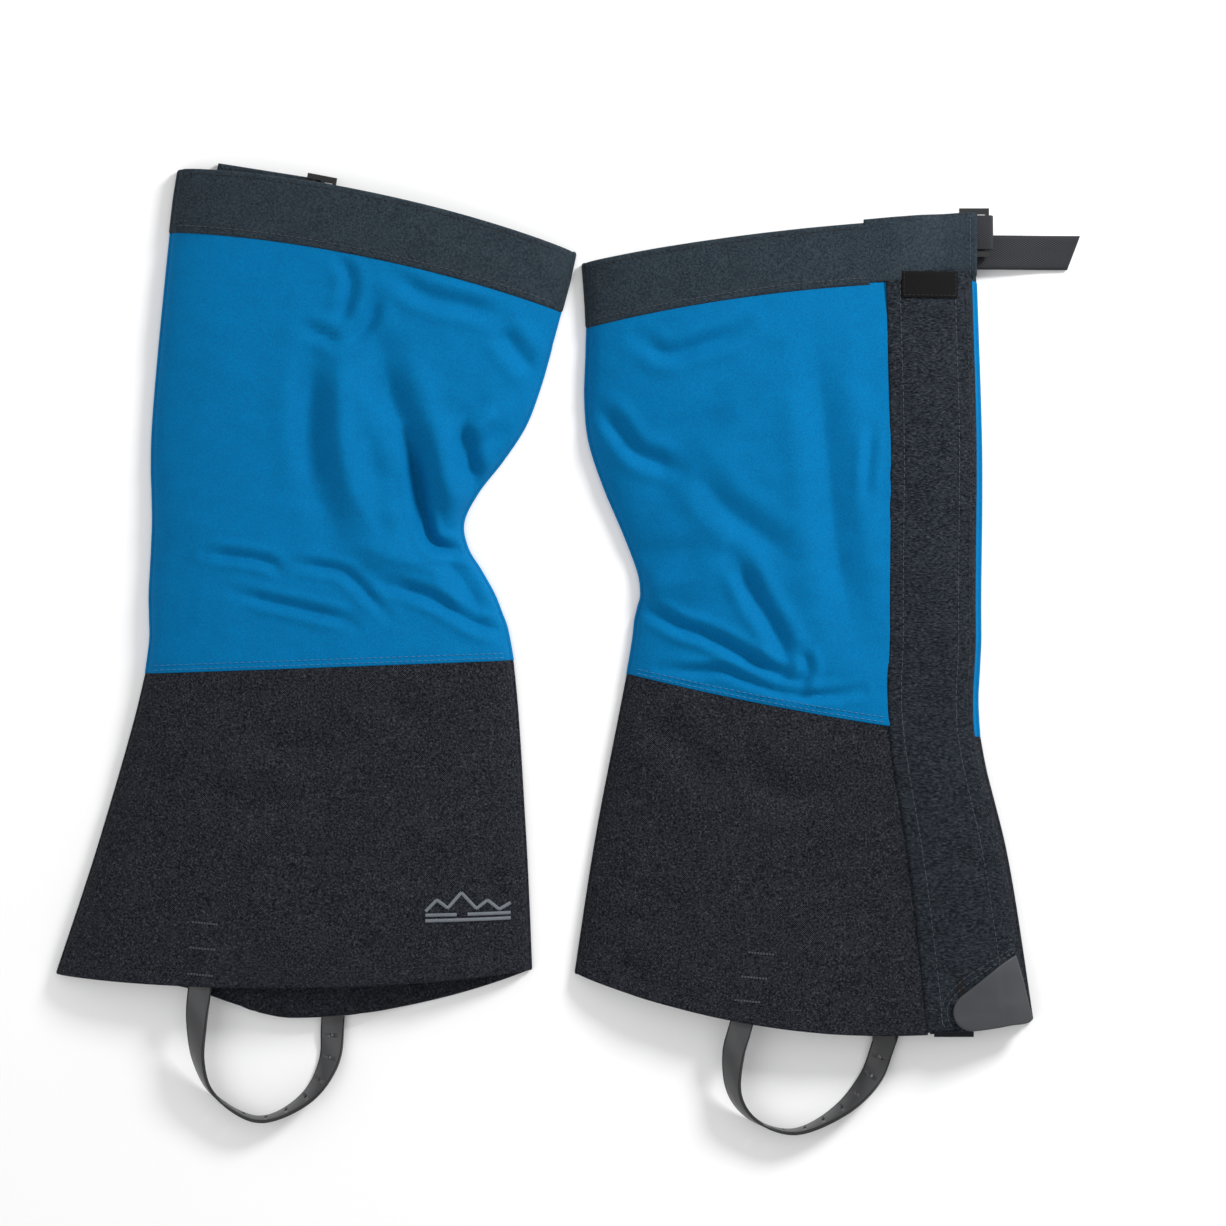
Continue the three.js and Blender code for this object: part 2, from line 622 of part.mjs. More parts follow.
function instepGroup(side, leg, exit, far) {
  const named = (name) => `${side}_${name}`
  const slant = SEWN_SLANT[side]
  const head = [exit[0] - slant * INSTEP.sewn, exit[1] + INSTEP.sewn]
  const behind = LOWER_THICKNESS + GAP // the sewn end lies behind the outer panel
  const sewn = layer({
    across: 2,
    along: 6,
    plan: across(exit, head, INSTEP.width / 2),
    top: (a, b, x, y) => leg.surfaceAt(x, y) - behind,
    bottom: (a, b, x, y) => leg.surfaceAt(x, y) - behind - INSTEP.thickness,
  })
  const start = leg.surfaceAt(...exit) - behind - INSTEP.thickness / 2
  const down = (s) => lerp(start, INSTEP.width / 2, THREE.MathUtils.smoothstep(s, 0, 0.45))
  const lift = (s) => (s < 0.5 ? down(s) : lerp(INSTEP.width / 2, TIP_THICKNESS * 2,
    THREE.MathUtils.smoothstep(s, 0.55, 1)))
  const points = ROUTE[side].map(([x, y]) => [exit[0] + x, exit[1] - SWING_GAP + y])
  const stations = twisted(points, lift)
  const loop = band(stations)
  const end = points[points.length - 1]

  // Beneath the inner panel: the strap's tip, its pin buckle, keeper and anchor tab.
  const hemGap = 2.4
  const lean = (far[0] - end[0]) / (far[1] - end[1])
  const up = (distance) => [end[0] + lean * distance, end[1] + hemGap + distance]
  const wire = PIN_BUCKLE.wire
  const flat = (from, to, half, low, high) => layer({
    across: 1, along: 2, plan: across(up(from), up(to), half), top: () => high, bottom: () => low,
  })
  const tipLow = wire + GAP
  const anchorFrom = PIN_BUCKLE.length + 10
  const frameFrom = 10
  const half = PIN_BUCKLE.width / 2
  const angle = Math.atan2(up(10)[1] - up(0)[1], up(10)[0] - up(0)[0]) - Math.PI / 2
  const frame = withIndex(extruded(rectangle(-half, 0, half, PIN_BUCKLE.length), wire,
    [ringed(-half + wire, wire, half - wire, PIN_BUCKLE.length - wire)]))
  frame.rotateZ(angle).translate(...up(frameFrom), 0)
  const tongueFrom = frameFrom + wire + GAP
  const tongueTo = frameFrom + PIN_BUCKLE.length - wire - 0.8
  const anchorLow = tipLow + TIP_THICKNESS + GAP
  const pivot = up(tongueTo - 0.9)
  const rivet = rivetHead(up, anchorFrom + ANCHOR.length * 0.45)
  return {
    fixed: [
      piece(named('instep_strap_sewn_end'), sewn, COATED),
      piece(named('instep_strap_tip'), flat(0, TIP_LENGTH, INSTEP.width / 2, tipLow,
        tipLow + TIP_THICKNESS), COATED),
      piece(named('instep_buckle_frame'), frame, STEEL),
      piece(named('instep_buckle_tab'), flat(frameFrom + 4, frameFrom + 4 + ANCHOR.length,
        INSTEP.width / 2 + 2, anchorLow, anchorLow + ANCHOR.thickness), BLACK_CANVAS),
      piece(named('instep_strap_keeper'), flat(anchorFrom + 6, anchorFrom + 6 + KEEPER.length,
        INSTEP.width / 2 + 2, tipLow - GAP - KEEPER.thickness, tipLow - GAP), RUBBER),
      piece(named('instep_rivet'), rivet, STEEL),
    ],
    loop: moving(named('instep_strap_swing'), [...exit, start + INSTEP.thickness / 2],
      piece(named('instep_strap'), loop, COATED)),
    tongue: moving(named('instep_tongue_pivot'), [...pivot, wire / 2],
      piece(named('instep_buckle_tongue'), flat(tongueFrom, tongueTo, 1, 0.4, wire - 0.2), STEEL)),
  }
}

// One low rivet head through the buckle tab.
function rivetHead(up, distance) {
  const head = new THREE.CylinderGeometry(RIVET_RADIUS, RIVET_RADIUS, 1, 16)
  head.rotateX(Math.PI / 2)
  return withIndex(head.translate(...up(distance), 0.9))
}

function pullTab(leg, closure) {
  // A tapering tab from the flap's lower free corner back across the flap.
  const rows = [0.06, 0.48]
  const edge = rows.map((row) => closure.at(closure.free(row), row))
  const [low, high] = edge
  const outer = (b) => [lerp(low[0], high[0], b), lerp(low[1], high[1], b)]
  const plan = (a, b) => {
    const [x, y] = outer(b)
    const spread = lerp(1, TAB.tip / TAB.width, a) * (1 - 0.35 * a ** 6)
    const middle = outer(0.4)
    return [x - TAB.length * a * (1 - 0.1 * (2 * b - 1) ** 2 * a),
      lerp(middle[1], y, spread) - 3 * a]
  }
  const face = (x, y) => (closure.above ? leg.surfaceAt(x, y) : TAB_STACK)
  const way = closure.above ? 1 : -1
  const span = (from, to, shrink) => ({
    across: 7,
    along: 4,
    plan: (a, b) => plan(shrink + a * (1 - 2 * shrink), shrink + b * (1 - 2 * shrink)),
    top: (a, b, x, y) => face(x, y) + (way > 0 ? to : -from),
    bottom: (a, b, x, y) => face(x, y) + (way > 0 ? from : -to),
  })
  const patchTop = GAP + PATCH_THICKNESS
  return {
    patch: layer(span(GAP, patchTop, 0.16)),
    tab: layer(span(patchTop + GAP, patchTop + GAP + TAB.thickness, 0)),
    edge,
    depth: patchTop + GAP,
  }
}

function gaiter(side, corner) {
  const leg = new Leg(side, corner)
  const named = (name) => `${side}_${name}`
  const closure = new Closure(leg)
  const above = closure.above
  const group = new THREE.Group()
  group.name = named('gaiter')

  // Where the buckle lies, and the level of the layer beneath it.
  const [bx, by] = leg.plan(BUCKLE_ACROSS[side], BUCKLE_ROW)
  const tilt = BUCKLE_TURN[side]
  const pastFold = above ? 1 : 0
  const base = above ? 2 * CUFF_THICKNESS + CUFF_FACING_LIFT : BUCKLE_STACK
  const place = new THREE.Matrix4().makeRotationZ(tilt)
    .setPosition(bx + pastFold, by + BUCKLE_RISE, base)
  if (!above) place.multiply(new THREE.Matrix4().makeScale(1, 1, -1))
  const sleeveStart = bx + pastFold - CUFF_END_LENGTH * Math.cos(tilt)
  const startLevel = above ? leg.surfaceAt(sleeveStart, by) - base : BUCKLE_STACK

  // The instep strap leaves the outer hem here, and reaches its buckle under the inner hem.
  const exitPoint = leg.plan(INSTEP_ACROSS[side], 0)
  const exit = [exitPoint[0], exitPoint[1] - 0.5]
  const route = ROUTE[side]
  const farX = exit[0] + route[route.length - 1][0]
  const farY = exit[1] + route[route.length - 1][1]
  const half = PIN_BUCKLE.width / 2 + 5
  const instepRise = PIN_BUCKLE.wire + TIP_THICKNESS + ANCHOR.thickness + 3 * GAP
  leg.bumps.push({
    box: [farX - half, farY - 40, farX + half, farY + 84], rise: instepRise, fall: 30,
  })
  if (!above) {
    const [tx, ty] = closure.at(closure.free(0.27), 0.27)
    leg.tabBumps.push({
      box: [tx - TAB.length - 8, ty - 26, tx + 8, ty + 24], rise: TAB_STACK, fall: 80,
    })
    const cuffLow = leg.plan(0.5, CUFF)[1] - 34
    leg.bumps.push({ box: [bx - CUFF_END_LENGTH, cuffLow, bx + STRAP_TAIL + 42, by + 60],
      rise: BUCKLE_STACK, fall: 34 })
    for (let row = 0; row < CUFF; row += 0.5) {
      const [x0, y0] = leg.plan(closure.seam(row), row, true)
      const [x1, y1] = leg.plan(closure.free(row + 0.5), row + 0.5, true)
      leg.bumps.push({ box: [x0, Math.min(y0, y1) - 40, x1 + 6, Math.max(y0, y1) + 8],
        rise: PANEL_THICKNESS + TAPE_STACK, fall: 24 })
    }
  }

  const stop = above ? (row) => closure.seam(row) - GAP / leg.width(row) : () => 1
  const start = above ? () => 0 : (row) => closure.seam(row) + 2 / leg.width(row)
  const shareAt = (x, row) => {
    const [from, to] = [leg.plan(0, row)[0], leg.plan(1, row)[0]]
    return (x - from) / (to - from)
  }
  const cuffStop = above ? (row) => shareAt(sleeveStart - GAP, row) : () => 1
  const cuffStart = above ? () => 0 : (row) => shareAt(bx - CUFF_END_LENGTH, row)
  const lower = [0, ANKLE - SEAM]
  const upper = [ANKLE + SEAM, CUFF - SEAM]
  const cuff = [CUFF + SEAM, TOP]
  const add = (...meshes) => group.add(...meshes)
  add(
    piece(named('lower_outer_panel'), upperLayer(leg, lower, stop, LOWER_THICKNESS, 7), BLACK_CANVAS),
    piece(named('upper_outer_panel'), upperLayer(leg, upper, stop, PANEL_THICKNESS, 12), BLUE),
    piece(named('cuff_outer'), upperLayer(leg, cuff, cuffStop, CUFF_THICKNESS, 3), SLATE),
    piece(named('lower_inner_panel'), lowerLayer(leg, lower, start, LOWER_THICKNESS, 7), BLACK_CANVAS),
    piece(named('upper_inner_panel'), lowerLayer(leg, upper, start, PANEL_THICKNESS, 12), BLUE),
    piece(named('cuff_inner'), lowerLayer(leg, cuff, cuffStart, CUFF_THICKNESS, 3), SLATE),
  )

  // The layer that goes round the front fold.
  if (above) {
    add(piece(named('lower_front_facing'), frontFacing(leg, closure, lower, LOWER_THICKNESS, 6),
      BLACK_CANVAS),
    piece(named('upper_front_facing'), frontFacing(leg, closure, upper, PANEL_THICKNESS, 10), BLUE),
    piece(named('cuff_front_facing'), cuffFacing(leg, cuff, sleeveStart + 5), SLATE))
  } else {
    const wrapStop = (row) => closure.seam(row) - GAP / leg.width(row)
    const cuffWrap = (row) => shareAt(bx - CUFF_END_LENGTH - 6, row)
    add(piece(named('lower_front_facing'), frontWrap(leg, lower, wrapStop, LOWER_THICKNESS, 6),
      BLACK_CANVAS),
    piece(named('upper_front_facing'), frontWrap(leg, upper, wrapStop, PANEL_THICKNESS, 10), BLUE),
    piece(named('cuff_front_facing'), frontWrap(leg, cuff, cuffWrap, CUFF_THICKNESS - GAP, 2), SLATE))
  }

  const strips = closurePieces(leg, closure)
  const tab = pullTab(leg, closure)
  add(piece(named('flap_root'), strips.root, BLACK_CANVAS),
    piece(named('hook_tape'), strips.hook, WEBBING))
  const tabMiddle = [(tab.edge[0][0] + tab.edge[1][0]) / 2, (tab.edge[0][1] + tab.edge[1][1]) / 2]
  const tabHeight = above ? leg.surfaceAt(...tabMiddle) + tab.depth : TAB.thickness
  const flapPivot = [(closure.head[0] + closure.foot[0]) / 2, (closure.head[1] + closure.foot[1]) / 2]
  const tabGroup = moving(named('tab_pivot'), [...tabMiddle, tabHeight],
    piece(named('pull_tab'), tab.tab, RUBBER))
  const flapGroup = moving(named('flap_pivot'), [...flapPivot, closure.height],
    piece(named('front_flap'), strips.flap, BLACK_CANVAS),
    piece(named('loop_tape'), strips.loop, WEBBING),
    piece(named('tab_patch'), tab.patch, WEBBING))
  tabGroup.position.sub(flapGroup.position)
  flapGroup.add(tabGroup)
  add(flapGroup)

  const buckle = buckleGroup(side, place, startLevel)
  add(...buckle.fixed, buckle.lever, buckle.strap)
  const instep = instepGroup(side, leg, exit, [farX + (above ? 2 : 6), farY + 60])
  add(...instep.fixed, instep.loop, instep.tongue)
  add(...laceHook(side, leg, closure))
  return group
}

function cuffFacing(leg, rows, from) {
  // The inner cuff's end lies flat behind the buckle, out to the front fold.
  const low = CUFF_THICKNESS + CUFF_FACING_LIFT
  return layer({
    across: 5,
    along: 3,
    plan: (a, b) => {
      const row = lerp(rows[0], rows[1], b)
      return leg.plan(lerp(leg.locate(from, leg.plan(0.9, row)[1])[0], 1, a), row)
    },
    top: () => low + CUFF_THICKNESS,
    bottom: (a) => (a === 1 ? CUFF_THICKNESS + GAP : low),
  })
}

// The hook that catches a boot's lace, and the tab that it is riveted to.
function laceHook(side, leg, closure) {
  const named = (name) => `${side}_${name}`
  const inFromSeam = closure.above ? 15 : -18
  const u = closure.seam(0) + inFromSeam / leg.width(0)
  const [x, y] = leg.plan(u, 0, !closure.above)
  const base = closure.above ? leg.surface(u) - PANEL_THICKNESS - TAPE_STACK - LOWER_THICKNESS - GAP
    : TAB_STACK + LOWER_THICKNESS + GAP
  const slab = (width, y0, y1, high, thickness) => layer({
    across: 1, along: 1, plan: (a, b) => [x + (a - 0.5) * width, lerp(y0, y1, b)],
    top: () => high, bottom: () => high - thickness,
  })
  const tabHigh = closure.above ? base - 2.2 : base + HOOK.thickness
  const low = y - HOOK_TAB.below[side]
  const tab = slab(HOOK_TAB.width, low, low + HOOK_TAB.length, tabHigh, HOOK.thickness)
  const profile = new THREE.Shape()
  const bend = 3
  profile.moveTo(0, 0)
  profile.lineTo(HOOK.length, 0)
  profile.lineTo(HOOK.length, -HOOK.thickness)
  profile.lineTo(HOOK.thickness, -HOOK.thickness)
  profile.lineTo(HOOK.thickness, -bend)
  profile.lineTo(HOOK.length / 2, -bend)
  profile.lineTo(HOOK.length / 2, -bend - HOOK.thickness)
  profile.lineTo(0, -bend - HOOK.thickness)
  profile.closePath()
  const options = { depth: HOOK.width, bevelEnabled: false }
  const geometry = withIndex(new THREE.ExtrudeGeometry(profile, options))
  geometry.rotateX(Math.PI / 2).rotateZ(Math.PI / 2)
  if (!closure.above) geometry.scale(1, 1, -1)
  const level = closure.above ? tabHigh - HOOK.thickness - GAP : tabHigh + GAP
  geometry.translate(x - HOOK.width / 2, low + 6, level)
  return [piece(named('lace_hook_tab'), tab, BLACK_CANVAS),
    piece(named('lace_hook'), outward(geometry), STEEL)]
}

const group = new THREE.Group()
group.add(gaiter('left', [0, 0]), gaiter('right', [HEM_WIDTH + PAIR_SPACING, 0]))
group.updateMatrixWorld(true)
const box = new THREE.Box3().setFromObject(group)
const middle = box.getCenter(new THREE.Vector3())
group.position.set(-middle.x, -middle.y, -box.min.z)

export default group
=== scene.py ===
"""A pair of hiking gaiters lying flat, dressed around their CAD frame. Metres."""
import json
import math

import bmesh
import bpy
import numpy as np
from mathutils import Matrix, Vector, noise
from mathutils.bvhtree import BVHTree


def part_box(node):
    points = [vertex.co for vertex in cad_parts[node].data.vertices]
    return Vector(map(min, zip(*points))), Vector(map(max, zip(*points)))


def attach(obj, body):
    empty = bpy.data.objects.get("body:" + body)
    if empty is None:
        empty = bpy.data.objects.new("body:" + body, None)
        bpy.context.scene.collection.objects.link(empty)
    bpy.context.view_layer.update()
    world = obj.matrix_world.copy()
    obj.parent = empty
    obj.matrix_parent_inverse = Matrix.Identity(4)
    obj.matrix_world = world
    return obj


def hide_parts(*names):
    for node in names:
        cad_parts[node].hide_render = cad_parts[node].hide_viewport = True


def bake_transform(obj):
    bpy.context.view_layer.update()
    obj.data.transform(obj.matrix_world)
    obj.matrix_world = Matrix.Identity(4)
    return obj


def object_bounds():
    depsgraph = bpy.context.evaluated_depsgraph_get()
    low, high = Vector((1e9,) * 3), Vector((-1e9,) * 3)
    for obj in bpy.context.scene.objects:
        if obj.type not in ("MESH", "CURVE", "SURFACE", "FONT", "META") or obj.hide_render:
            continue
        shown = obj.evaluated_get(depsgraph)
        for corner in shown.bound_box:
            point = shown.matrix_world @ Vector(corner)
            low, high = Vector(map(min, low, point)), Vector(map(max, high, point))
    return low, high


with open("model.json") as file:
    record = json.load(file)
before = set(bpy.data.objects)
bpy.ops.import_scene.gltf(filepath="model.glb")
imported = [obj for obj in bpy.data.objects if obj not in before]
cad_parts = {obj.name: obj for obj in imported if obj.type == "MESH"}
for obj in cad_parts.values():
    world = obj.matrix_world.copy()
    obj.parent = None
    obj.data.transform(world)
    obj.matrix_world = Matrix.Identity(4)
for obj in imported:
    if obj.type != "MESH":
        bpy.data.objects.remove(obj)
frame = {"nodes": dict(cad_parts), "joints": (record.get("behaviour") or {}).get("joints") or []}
CAD_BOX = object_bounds()
MM = 0.001

# ---- sizes that belong to the cloth ---------------------------------------------------
FOLD_HEIGHT = 3.6 * MM  # top of the upper side at a plain fold
CLOSURE_FOLD_HEIGHT = 7.5 * MM  # the same beside a closure on the upper side
DOME_POWER = 2.6
BLUE_THICK = 0.7 * MM
BLACK_THICK = 1.0 * MM
CUFF_THICK = 1.5 * MM
FLAP_THICK = 1.1 * MM
FACING_DEPTH = 3.3 * MM  # from the flap's face down to the layer beneath it
LOWER_HEM_FROM, LOWER_HEM_FULL = 0.2, 0.5  # shares across where the lower side's hem hangs lower


# ---- small tools ----------------------------------------------------------------------
def lerp(a, b, t):
    return a + (b - a) * t


def smooth(t):
    t = np.clip(t, 0, 1)
    return t * t * (3 - 2 * t)


def unit(vectors):
    return vectors / np.maximum(np.linalg.norm(vectors, axis=-1, keepdims=True), 1e-12)


def curve_at(points, t):
    """A point at share t of a smooth curve through evenly counted points."""
    points = np.asarray(points, float)
    n = len(points) - 1
    at = np.clip(np.asarray(t, float), 0, 1) * n
    i = np.minimum(at.astype(int), n - 1)
    f = (at - i)[..., None]
    before, after = np.maximum(i - 1, 0), np.minimum(i + 2, n)
    p0, p1, p2, p3 = points[before], points[i], points[i + 1], points[after]
    return 0.5 * (
        2 * p1
        + (p2 - p0) * f
        + (2 * p0 - 5 * p1 + 4 * p2 - p3) * f**2
        + (3 * p1 - p0 - 3 * p2 + p3) * f**3
    )


def spaced(points, step):
    """Points along a line, a step apart, with the direction at each."""
    points = np.asarray(points, float)
    run = np.r_[0, np.cumsum(np.linalg.norm(np.diff(points, axis=0), axis=1))]
    count = max(2, int(round(run[-1] / step)) + 1)
    at = np.linspace(0, run[-1], count)
    out = np.stack([np.interp(at, run, points[:, k]) for k in range(points.shape[1])], 1)
    return out, unit(np.gradient(out, axis=0))


def new_object(name, points, faces, material, shaded=True):
    mesh = bpy.data.meshes.new(name)
    mesh.from_pydata([tuple(map(float, p)) for p in points], [], [tuple(f) for f in faces])
    bm = bmesh.new()
    bm.from_mesh(mesh)
    bmesh.ops.recalc_face_normals(bm, faces=bm.faces)
    bm.to_mesh(mesh)
    bm.free()
    mesh.materials.append(material)
    if shaded:
        mesh.shade_smooth()
    piece = bpy.data.objects.new(name, mesh)
    bpy.context.scene.collection.objects.link(piece)
    return piece


def grid_faces(rows, columns, closed=False):
    faces = []
    for j in range(rows - 1):
        for i in range(columns if closed else columns - 1):
            k = (i + 1) % columns
            faces.append((j * columns + i, j * columns + k, (j + 1) * columns + k, (j + 1) * columns + i))
    return faces


def ruled(left, right, t):
    """A flat grid of points that runs from one line across to another."""
    grid = np.zeros((len(left), len(t), 3))
    grid[..., :2] = left[:, None] + (right - left)[:, None] * t[None, :, None]
    return grid


def normals(grid):
    return unit(np.cross(np.gradient(grid, axis=1), np.gradient(grid, axis=0)))


def thick_sheet(name, grid, thickness, material):
    """A closed sheet of even thickness whose middle is a grid of points."""
    rows, columns = grid.shape[:2]
    half = normals(grid) * thickness / 2
    top, low = (grid + half).reshape(-1, 3), (grid - half).reshape(-1, 3)
    count = rows * columns
    faces = grid_faces(rows, columns)
    faces += [tuple(count + i for i in reversed(f)) for f in faces]
    rim = [*range(columns), *range(2 * columns - 1, count, columns)]
    rim += [*range(count - 2, count - columns - 1, -1), *range(count - 2 * columns, 0, -columns)]
    for a, b in zip(rim, rim[1:] + rim[:1]):
        faces.append((a, count + a, count + b, b))
    return new_object(name, np.vstack([top, low]), faces, material)


def swept(name, route, wide, thick, material, rounding=0.3):
    """A flat band with rounded edges: route, half-width and half-thickness vectors at each station."""
    section = []
    for s, t in ((1, 1), (-1, 1), (-1, -1), (1, -1)):
        for k in range(3):
            turn = math.pi / 2 * k / 2
            a, b = (math.cos(turn), math.sin(turn)) if s * t > 0 else (math.sin(turn), math.cos(turn))
            section.append((s, t, a, b))
    points = []
    for at, w, h in zip(route, wide, thick):
        r = np.linalg.norm(h) * rounding * 2
        wn, hn = w / np.linalg.norm(w), h / np.linalg.norm(h)
        for s, t, a, b in section:
            points.append(at + w * s + h * t - wn * s * r * (1 - a) - hn * t * r * (1 - b))
    n = len(section)
    faces = grid_faces(len(route), n, closed=True)
    faces += [tuple(range(n)), tuple(range(len(points) - n, len(points)))]
    return new_object(name, points, faces, material)


def box_of(node):
    return [np.array(corner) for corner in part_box(node)]


def joint(name):
    return next(j for j in frame["joints"] if j["name"] == name)


def dress(piece, body, slot, *nodes):
    """Attaches a piece to the body it moves with and hides the CAD nodes it stands for; slot, what it is made
    of, is not used.
    """
    if nodes:
        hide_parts(*nodes)
    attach(piece, body)
    return piece


def rim_of(node):
    """A CAD sheet's outline from above, as its left, right, low and high edges."""
    bm = bmesh.new()
    bm.from_mesh(frame["nodes"][node].data)
    bmesh.ops.remove_doubles(bm, verts=bm.verts, dist=1e-6)
    up = {f for f in bm.faces if f.normal.z > 0.1}
    links = {}
    for edge in bm.edges:
        if sum(f in up for f in edge.link_faces) == 1:
            a, b = edge.verts
            links.setdefault(a.index, []).append(b.index)
            links.setdefault(b.index, []).append(a.index)
    bm.verts.ensure_lookup_table()
    place = {i: np.array(bm.verts[i].co) for i in links}
    loop = [next(iter(links))]
    last = None
    while True:
        following = [i for i in links[loop[-1]] if i != last]
        last = loop[-1]
        if following[0] == loop[0] and len(loop) > 2:
            break
        loop.append(following[0])
    points = np.array([place[i] for i in loop])
    bm.free()
    x, y = points[:, 0], points[:, 1]
    if np.sum(x * np.roll(y, -1) - np.roll(x, -1) * y) < 0:
        points = points[::-1]
    ahead = np.roll(points, -1, 0)[:, :2] - points[:, :2]
    behind = points[:, :2] - np.roll(points, 1, 0)[:, :2]
    cross = behind[:, 0] * ahead[:, 1] - behind[:, 1] * ahead[:, 0]
    turn = np.abs(np.arctan2(cross, (ahead * behind).sum(1)))
    corners = sorted(np.argsort(turn)[-4:])
    size = np.ptp(points, axis=0)
    first, then = (0, 1) if size[0] > size[1] else (1, 0)
    pair = sorted(corners, key=lambda i: points[i, first])[:2]
    start = min(pair, key=lambda i: points[i, then])
    order = corners[corners.index(start):] + corners[: corners.index(start)]
    sides = []
    for a, b in zip(order, order[1:] + order[:1]):
        count = (b - a) % len(points)
        sides.append(np.array([points[(a + k) % len(points)] for k in range(count + 1)]))
    low, right, high, left = sides
    return dict(left=left[::-1, :2], right=right[:, :2], low=low[:, :2], high=high[::-1, :2])


def caster(*pieces, far=0.2):
    """Finds the height of pieces' upper or lower face at a place, from this far above or below the floor."""
    points, faces = [], []
    for piece in pieces:
        start = len(points)
        points += [v.co.copy() for v in piece.data.vertices]
        faces += [tuple(start + i for i in p.vertices) for p in piece.data.polygons]
    tree = BVHTree.FromPolygons(points, faces)

    def height(x, y, above=True, fallback=0.0):
        way = -1.0 if above else 1.0
        hit = tree.ray_cast(Vector((x, y, -way * far)), Vector((0, 0, way)))[0]
        return hit.z if hit else fallback

    return height


def cad_caster(*names):
    return caster(*(frame["nodes"][name] for name in names), far=1.0)


# ---- materials ------------------------------------------------------------------------
def feed(node, *inputs, **named):
    """Sets a node's settings, in lower case, and its inputs, with _ for a space, from values or outputs."""
    for key, value in named.items():
        if key[0].islower():
            setattr(node, key, value)
    places = [(k.replace("_", " "), value) for k, value in named.items() if k[0].isupper()]
    for place, value in [*enumerate(inputs), *places]:
        if isinstance(value, bpy.types.NodeSocket):
            node.id_data.links.new(value, node.inputs[place])
        else:
            node.inputs[place].default_value = value
    return node


class Look:
    """A material that is being put together."""

    def __init__(self, name):
        self.material = bpy.data.materials.new(name)
        self.material.use_nodes = True
        self.nodes = self.material.node_tree.nodes
        self.where = self.add("TexCoord", gives="Object")

    def add(self, kind, *inputs, gives=0, **named):
        return feed(self.nodes.new("ShaderNode" + kind), *inputs, **named).outputs[gives]

    def noise(self, scale, detail, where=None, **named):
        return self.add("TexNoise", Vector=where or self.where, Scale=scale, Detail=detail, **named)

    def mix(self, share, first, second):
        return self.add("Mix", data_type="RGBA", Factor=share, A=first, B=second, gives="Result")

    def bump(self, height, strength, distance, **named):
        return self.add("Bump", Height=height, Strength=strength, Distance=distance, **named)

    def weave(self, across, along, wander):
        """The height of a plain weave: threads over and under each other, a little uneven."""
        drift = self.noise(wander, 1.0, gives="Color")
        shift = self.add("VectorMath", drift, operation="SCALE", Scale=0.35 * MM)
        moved = self.add("VectorMath", self.where, shift, operation="ADD")
        over, under = (
            self.add("TexWave", Vector=moved, wave_type="BANDS", bands_direction=direction,
                     Scale=2 * math.pi / (20 * period), Distortion=0.0, gives="Fac")
            for direction, period in (("X", across), ("Y", along))
        )
        either = self.add("Math", over, under, operation="MAXIMUM")
        both = self.add("Math", over, under, operation="MULTIPLY")
        return self.add("Math", either, both, operation="SUBTRACT")

    def finish(self, **named):
        feed(self.nodes["Principled BSDF"], **named)
        return self.material


def fabric(name, dark, light, period, bump, roughness, mottle=90.0, painted_glint=0.0, contrast=0.5,
           specular=0.25, mottling=0.25, grain=(1.0, 1.0, 1.0)):
    """Woven cloth. grain stretches its flecks: below 1 on an axis draws them out along it. Lighter specks
    mixed into the colour are painted glints, a painted highlight on the threads.
    """
    look = Look(name)
    weave = look.weave(period, period, 300.0)
    drawn = look.add("VectorMath", look.where, grain, operation="MULTIPLY")
    fine = look.noise(0.9 / period, 2.0, drawn, Roughness=0.6)
    broad = look.noise(mottle, 4.0, Roughness=0.55)
    both = look.add("Math", broad, mottling, fine, operation="MULTIPLY_ADD")
    level = look.add("MapRange", both, From_Min=0.36 + 0.5 * mottling, From_Max=0.64 + 0.5 * mottling)
    threads = look.add("MapRange", weave, To_Min=1 - contrast, To_Max=1 + 0.7 * contrast)
    tone = look.mix(level, (*dark, 1), (*light, 1))
    colour = look.add("VectorMath", tone, operation="SCALE", Scale=threads)
    # Painted glints: lighter specks mixed into the colour stand in for highlights on the threads.
    if painted_glint:
        spots = look.noise(1.1 / period, 1.0, drawn)
        picked = look.add("MapRange", spots, From_Min=0.54, From_Max=0.76, To_Max=painted_glint)
        colour = look.mix(picked, colour, (0.085, 0.09, 0.105, 1))
    rough = look.add("MapRange", fine, To_Min=roughness - 0.08, To_Max=min(1.0, roughness + 0.08))
    relief = look.bump(weave, bump, 0.25 * MM)
    relief = look.bump(fine, bump * 0.6, 0.3 * MM, Normal=relief)
    return look.finish(Base_Color=colour, Roughness=rough, Normal=relief, Specular_IOR_Level=specular)


def ribbed(name, dark, light, period, roughness):
    """Webbing: close ribs across its width."""
    look = Look(name)
    ribs = look.weave(period, period * 0.6, 200.0)
    relief = look.bump(ribs, 0.8, 0.35 * MM)
    relief = look.bump(look.noise(900.0, 2.0), 0.3, 0.2 * MM, Normal=relief)
    return look.finish(Base_Color=look.mix(ribs, (*dark, 1), (*light, 1)), Roughness=roughness,
                       Normal=relief, Specular_IOR_Level=0.15)


def smooth_skin(name, dark, light, roughness, grain_size, bump, metallic=0.0, coat=0.0, scratched=False):
    """Rubber, coated strap, moulded plastic and metal: a fine grain, slight blotches and rubbed spots."""
    look = Look(name)
    fine = look.noise(1 / grain_size, 4.0, Roughness=0.65)
    tone = look.mix(look.noise(70.0, 3.0), (*dark, 1), (*light, 1))
    rough = look.add("MapRange", fine, To_Min=max(0.05, roughness - 0.12), To_Max=roughness + 0.12)
    height = fine
    if scratched:
        height = look.add("Math", fine, look.noise(500.0, 2.0, Distortion=2.0), operation="ADD")
    return look.finish(Base_Color=tone, Roughness=rough, Normal=look.bump(height, bump, 0.15 * MM),
                       Metallic=metallic, Coat_Weight=coat)


